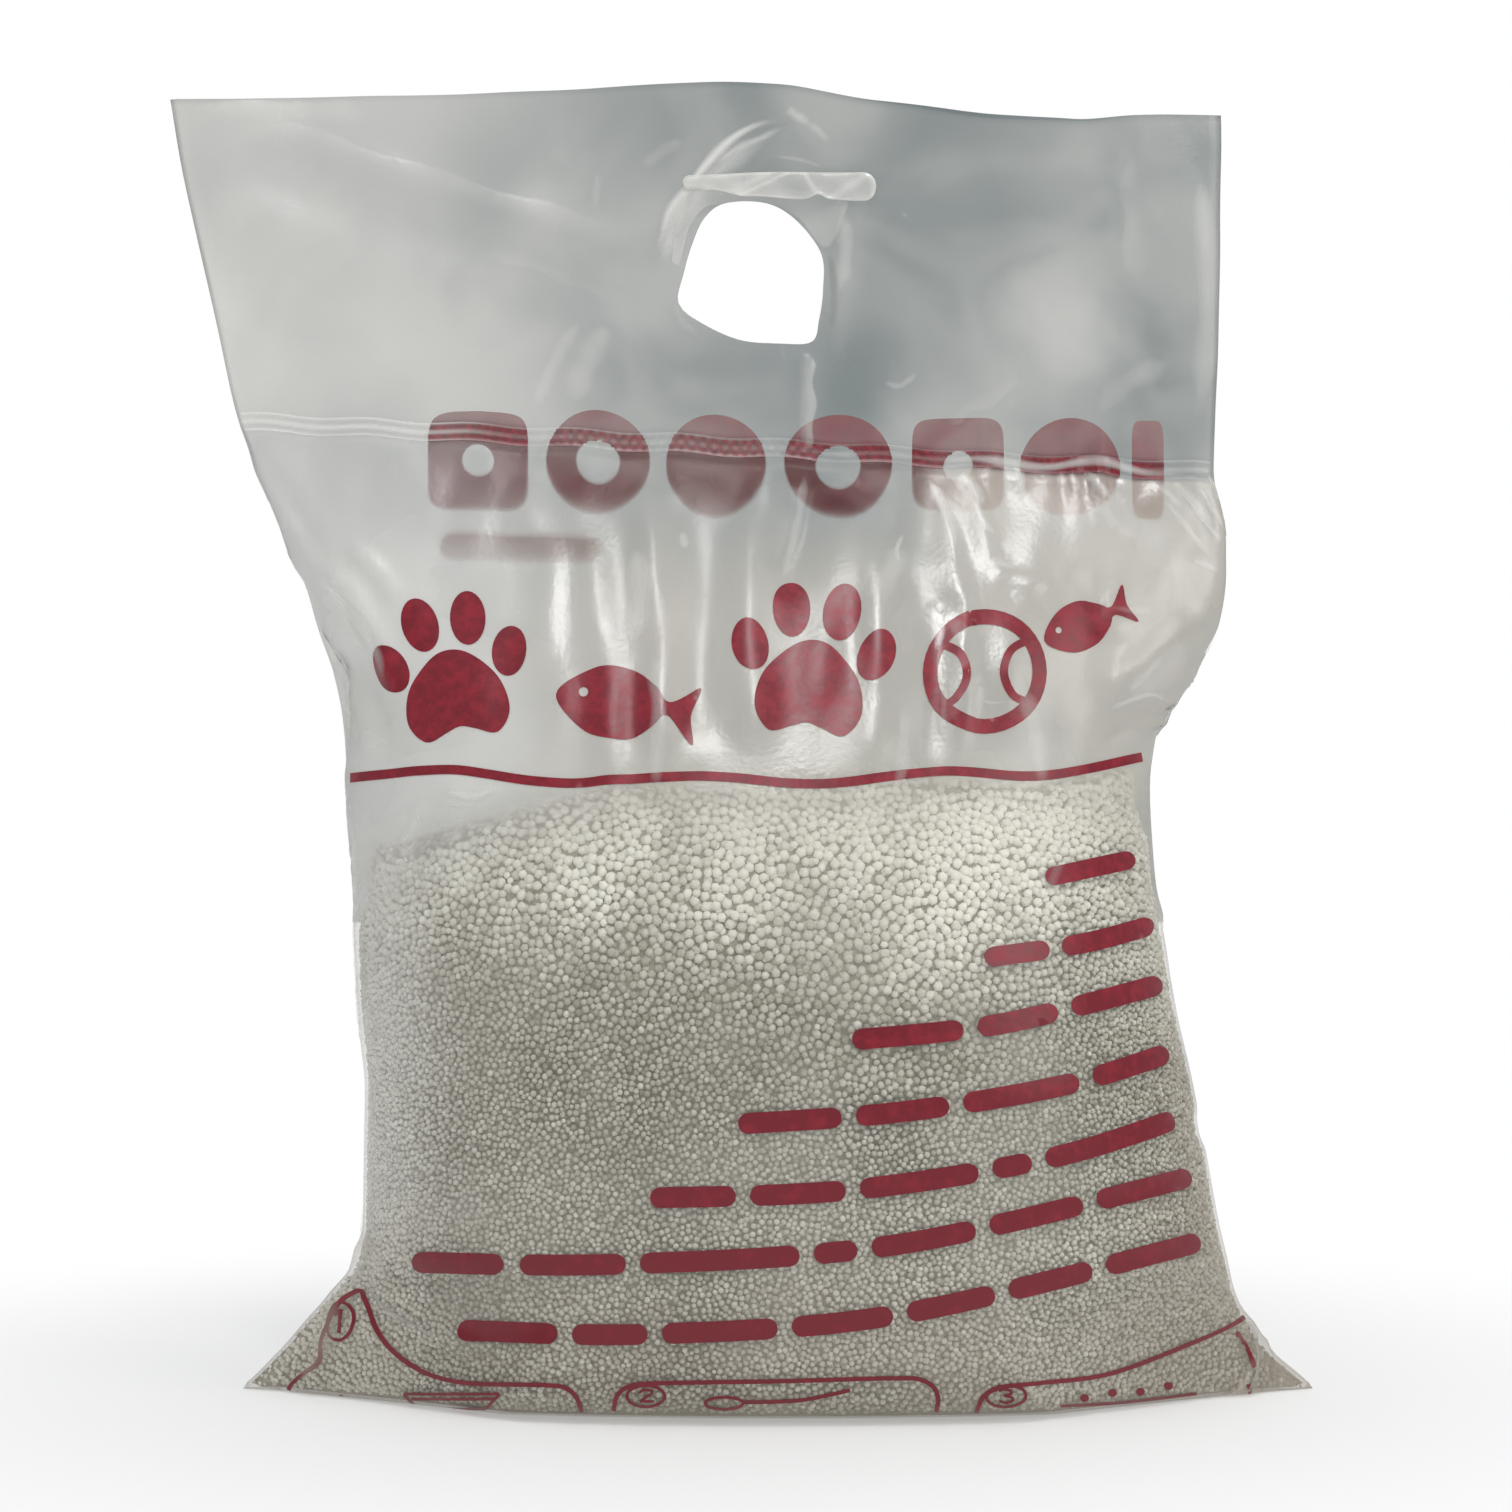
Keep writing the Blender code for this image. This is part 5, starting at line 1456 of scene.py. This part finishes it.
def creases():
    """Folds pressed into the film, too narrow for its grid: low ridges, paler along the ridge with painted highlight
    and whitened film, and dark where painted shade is laid in their hollow.
    """
    ink = Print(-1)
    values = {k: [] for k in ("veil", "haze", "painted_shade", "frost", "brown_tint")}
    across = np.linspace(-1, 1, 9)
    bell = np.cos(across * np.pi / 2) ** 2
    for line, width, pale, dark, *steep in CREASES:
        path = smooth_path(line, False, 5.0)
        m = len(path)
        d = np.gradient(path, axis=0)
        n = np.stack([-d[:, 1], d[:, 0]], -1) / np.linalg.norm(d, axis=1, keepdims=True)
        t = np.linspace(0, 1, m)
        end = smooth(0, 0.25, t) * (1 - smooth(0.7, 1, t))
        wide = width * (0.45 + 0.55 * end) * (1 + 0.15 * np.sin(t * 19 + width))
        px = path[:, None] + n[:, None] * (across[None, :, None] * wide[:, None, None])
        px[..., 0] = np.clip(px[..., 0], 176, 1304)
        rows, cols = find_on_layer(out_of_hole(px.reshape(-1, 2)), -1)
        profile = bell
        if steep:
            lean = across * steep[0]
            profile = np.where(lean < 0.7, np.clip((lean + 1) / 1.7, 0, 1) ** 1.7, np.clip((1 - lean) / 0.3, 0, 1))
        shape = (end[:, None] * profile[None]).ravel()
        height = 0.00045 + shape * min(0.0006, width * 2.2e-5) * (1 if not dark else 0.2)
        ids = ink.count + np.arange(m * 9).reshape(m, 9)
        q = np.stack([ids[:-1, :-1], ids[:-1, 1:], ids[1:, 1:], ids[1:, :-1]], -1).reshape(-1, 4)
        ink.verts.append(on_film(rows, cols, 0.0) + at_normal(rows, cols) * height[:, None])
        ink.tris += [q[:, [0, 1, 2]], q[:, [0, 2, 3]]]
        ink.count += m * 9
        # paler along the ridge: painted highlight and whitened film; darkened by the dark column: painted shade; lower
        # creases tinted darker and browner
        values["veil"].append(-0.16 + (pale + 0.16) * shape)
        values["haze"].append(np.full(m * 9, 1.0))
        values["painted_shade"].append(np.full(m * 9, float(dark)))
        values["frost"].append(np.zeros(m * 9))
        values["brown_tint"].append(0.8 * smooth(1120, 1260, px[..., 1]).ravel())
    obj = ink.object("film_creases", film_mat, {k: np.concatenate(v) for k, v in values.items()})


def at_normal(row, col):
    n = at_grid(GN, row, col)
    return n / np.linalg.norm(n, axis=-1, keepdims=True)


def seal_band(side):
    """The cross seal's bite on one layer: two pressed lines with a knurl between them along part of its length."""
    steps, high = 900, 15
    col = np.linspace(0.6, NU - 0.6, steps)
    tube_col = col if side < 0 else C - col
    v = np.linspace(0, 1, high)
    row = SEAL_ROW - 0.35 + 2.7 * v[:, None] + 0 * col[None]
    cols = np.broadcast_to(tube_col, row.shape)
    x = at_grid(S, row, cols)[..., 0]
    ridge = 0.5 + 0.5 * np.cos(v * 2 * np.pi * 2)[:, None]
    knurl = 0.5 + 0.5 * np.sin(x * 2 * np.pi / 0.0042 + 1.2 * np.sin(x * 150)) * np.sin(v * np.pi * 3)[:, None]
    part = smooth(-0.090, -0.075, x) * (1 - smooth(0.020, 0.035, x))
    lift = 0.00034 + 0.00050 * (ridge * (1 - part) + knurl * part)
    pts = on_film(row, cols, 0.0) + at_grid(GN, row, cols) * lift[..., None]
    left = 1 - smooth(-0.135, -0.10, x)
    # painted highlight: the pressed lines are made paler, most on the left; painted shade: the hollows between them on
    # the right are darkened
    white = np.clip(ridge**2 * (0.12 + 0.30 * left) * (1 - 0.6 * part) + 0.12 * knurl * part, 0, 1)
    ids = np.arange(high * steps).reshape(high, steps)
    faces = np.stack([ids[:-1, :-1], ids[:-1, 1:], ids[1:, 1:], ids[1:, :-1]], -1).reshape(-1, 4)
    if side > 0:
        faces = faces[:, ::-1]
    obj = mesh_object("cross_seal_front" if side < 0 else "cross_seal_back", pts.reshape(-1, 3), faces, film_mat, {"veil": (0.06 + white).ravel(), "haze": np.full(pts.size // 3, 1.0), "painted_shade": (0.45 * (1 - ridge) * (1 - left) + 0 * x).ravel(), "frost": np.zeros(pts.size // 3)})
    return obj


red = front_print()
back_print()
litter_body()
scatter()
tongue()
seal_band(-1)
seal_band(1)
creases()


# ---------------------------------------------------------------------------------------------
# stage, light and camera
# ---------------------------------------------------------------------------------------------
# soft patches of the room that stands behind the pack: where they show in the photograph's pixels, radius, and how
# much darker (or, below 0, lighter) they are
ROOM = [
    (610, 140, 260, 0.42), (560, 300, 170, 0.10), (930, 240, 170, 0.30), (1180, 230, 130, 0.42), (1060, 345, 120, -0.30),
    (770, 370, 130, 0.06), (870, 395, 80, 0.18), (1230, 380, 120, 0.25), (820, 110, 110, -0.16), (400, 330, 200, -0.08),
    (250, 230, 170, 0.26), (1220, 300, 90, 0.34),
]


def stage():
    scene = bpy.context.scene
    scene.view_settings.view_transform = "Standard"
    bpy.ops.mesh.primitive_plane_add(size=9, location=(0, 0, 0))
    floor = bpy.context.object
    floor.name = "floor"
    mat, nt, shader = new_material("floor")
    noise = node(nt, "ShaderNodeTexNoise", Scale=40.0, Detail=4.0)
    nt.links.new(blended(nt, noise.outputs["Fac"], (0.90, 0.90, 0.895), (0.92, 0.92, 0.915)), shader.inputs["Base Color"])
    shader.inputs["Roughness"].default_value = 0.8
    where, far = node(nt, "ShaderNodeTexCoord"), node(nt, "ShaderNodeVectorMath", operation="LENGTH")
    nt.links.new(where.outputs["Object"], far.inputs[0])
    # the floor glows, about a third near the pack and fully from half a metre out, so it fades to white: painted light,
    # which also lifts the shadow under the pack
    glow, fade = node(nt, "ShaderNodeEmission"), node(nt, "ShaderNodeMixShader")
    nt.links.new(ranged(nt, far.outputs["Value"], 0.32, 1.0, 0.16, 0.55), fade.inputs["Fac"])
    nt.links.new(shader.outputs["BSDF"], fade.inputs[1])
    nt.links.new(glow.outputs["Emission"], fade.inputs[2])
    nt.links.new(fade.outputs["Shader"], nt.nodes["Material Output"].inputs["Surface"])
    floor.data.materials.append(mat)

    # a white backdrop, which shows grey through the film like the room behind the real pack
    world = bpy.data.worlds.new("studio")
    scene.world = world
    world.use_nodes = True
    nt = world.node_tree
    link = nt.links.new
    out = nt.nodes["World Output"]
    light = nt.nodes["Background"]
    place = node(nt, "ShaderNodeTexCoord")
    split = node(nt, "ShaderNodeSeparateXYZ")
    link(place.outputs["Generated"], split.inputs["Vector"])
    link(blended(nt, ranged(nt, split.outputs["Z"], 0.0, 1.0, -0.1, 0.9), (0.42, 0.43, 0.44), (0.95, 0.96, 0.98)), light.inputs["Color"])
    light.inputs["Strength"].default_value = 0.75
    room = node(nt, "ShaderNodeBackground")
    things = node(nt, "ShaderNodeTexNoise", Scale=13.0, Detail=1.5, Roughness=0.4)
    link(place.outputs["Generated"], things.inputs["Vector"])
    side = ranged(nt, split.outputs["X"], 0.0, 0.66, -0.125, -0.015)
    patches = []
    for x, y, radius, amount in ROOM:
        towards = Vector(((x - 756) / FOCAL, 1, (756 - y) / FOCAL)).normalized()
        off = node(nt, "ShaderNodeVectorMath", operation="DISTANCE")
        link(place.outputs["Generated"], off.inputs[0])
        off.inputs[1].default_value = towards
        spot = ranged(nt, off.outputs["Value"], amount, 0.0, 0.0, radius / FOCAL)
        patches.append(spot)
    total = patches[0]
    for spot in (*patches[1:], side, ranged(nt, things.outputs["Fac"], -0.20, 0.26, 0.34, 0.66)):
        plus = node(nt, "ShaderNodeMath", operation="ADD")
        link(total, plus.inputs[0])
        link(spot, plus.inputs[1])
        total = plus.outputs["Value"]
    link(blended(nt, total, (0.56, 0.56, 0.545), (0.15, 0.185, 0.195)), room.inputs["Color"])
    white = node(nt, "ShaderNodeBackground")
    white.inputs["Color"].default_value = (1, 1, 1, 1)
    path = node(nt, "ShaderNodeLightPath")
    passed = node(nt, "ShaderNodeMath", operation="GREATER_THAN")
    link(path.outputs["Transparent Depth"], passed.inputs[0])
    passed.inputs[1].default_value = 0.5
    seen = node(nt, "ShaderNodeMixShader")
    link(white.outputs["Background"], seen.inputs[1])
    link(room.outputs["Background"], seen.inputs[2])
    final = node(nt, "ShaderNodeMixShader")
    direct = node(nt, "ShaderNodeMath", operation="MAXIMUM")
    link(path.outputs["Is Camera Ray"], direct.inputs[0])
    link(path.outputs["Is Transmission Ray"], direct.inputs[1])
    behind = node(nt, "ShaderNodeMath", operation="MAXIMUM")
    link(passed.outputs["Value"], behind.inputs[0])
    link(path.outputs["Is Transmission Ray"], behind.inputs[1])
    link(behind.outputs["Value"], seen.inputs["Fac"])
    link(direct.outputs["Value"], final.inputs["Fac"])
    link(light.outputs["Background"], final.inputs[1])
    link(seen.outputs["Shader"], final.inputs[2])
    link(final.outputs["Shader"], out.inputs["Surface"])

    def area(name, location, size, power, colour=(1, 1, 1), aim=(0, 0, 0.25)):
        lamp = bpy.data.lights.new(name, "AREA")
        lamp.shape, lamp.size, lamp.size_y = "RECTANGLE", *size
        lamp.energy, lamp.color = power, colour
        obj = bpy.data.objects.new(name, lamp)
        scene.collection.objects.link(obj)
        obj.location = location
        obj.rotation_euler = (Vector(aim) - Vector(location)).to_track_quat("-Z", "Y").to_euler()
        return obj

    area("softbox_top", (0.10, -1.0, 1.75), (0.34, 0.5), 10)
    area("softbox_right", (1.5, -1.3, 1.1), (0.9, 0.9), 9, (1.0, 0.985, 0.95))
    camera = bpy.data.cameras.new("camera")
    camera.sensor_width = 36
    camera.lens = 36 * 1.6 / 0.63
    cam = bpy.data.objects.new("camera", camera)
    scene.collection.objects.link(cam)
    cam.location = Vector(EYE + MOVE)
    cam.rotation_euler = (math.pi / 2, 0, 0)
    scene.camera = cam


stage()
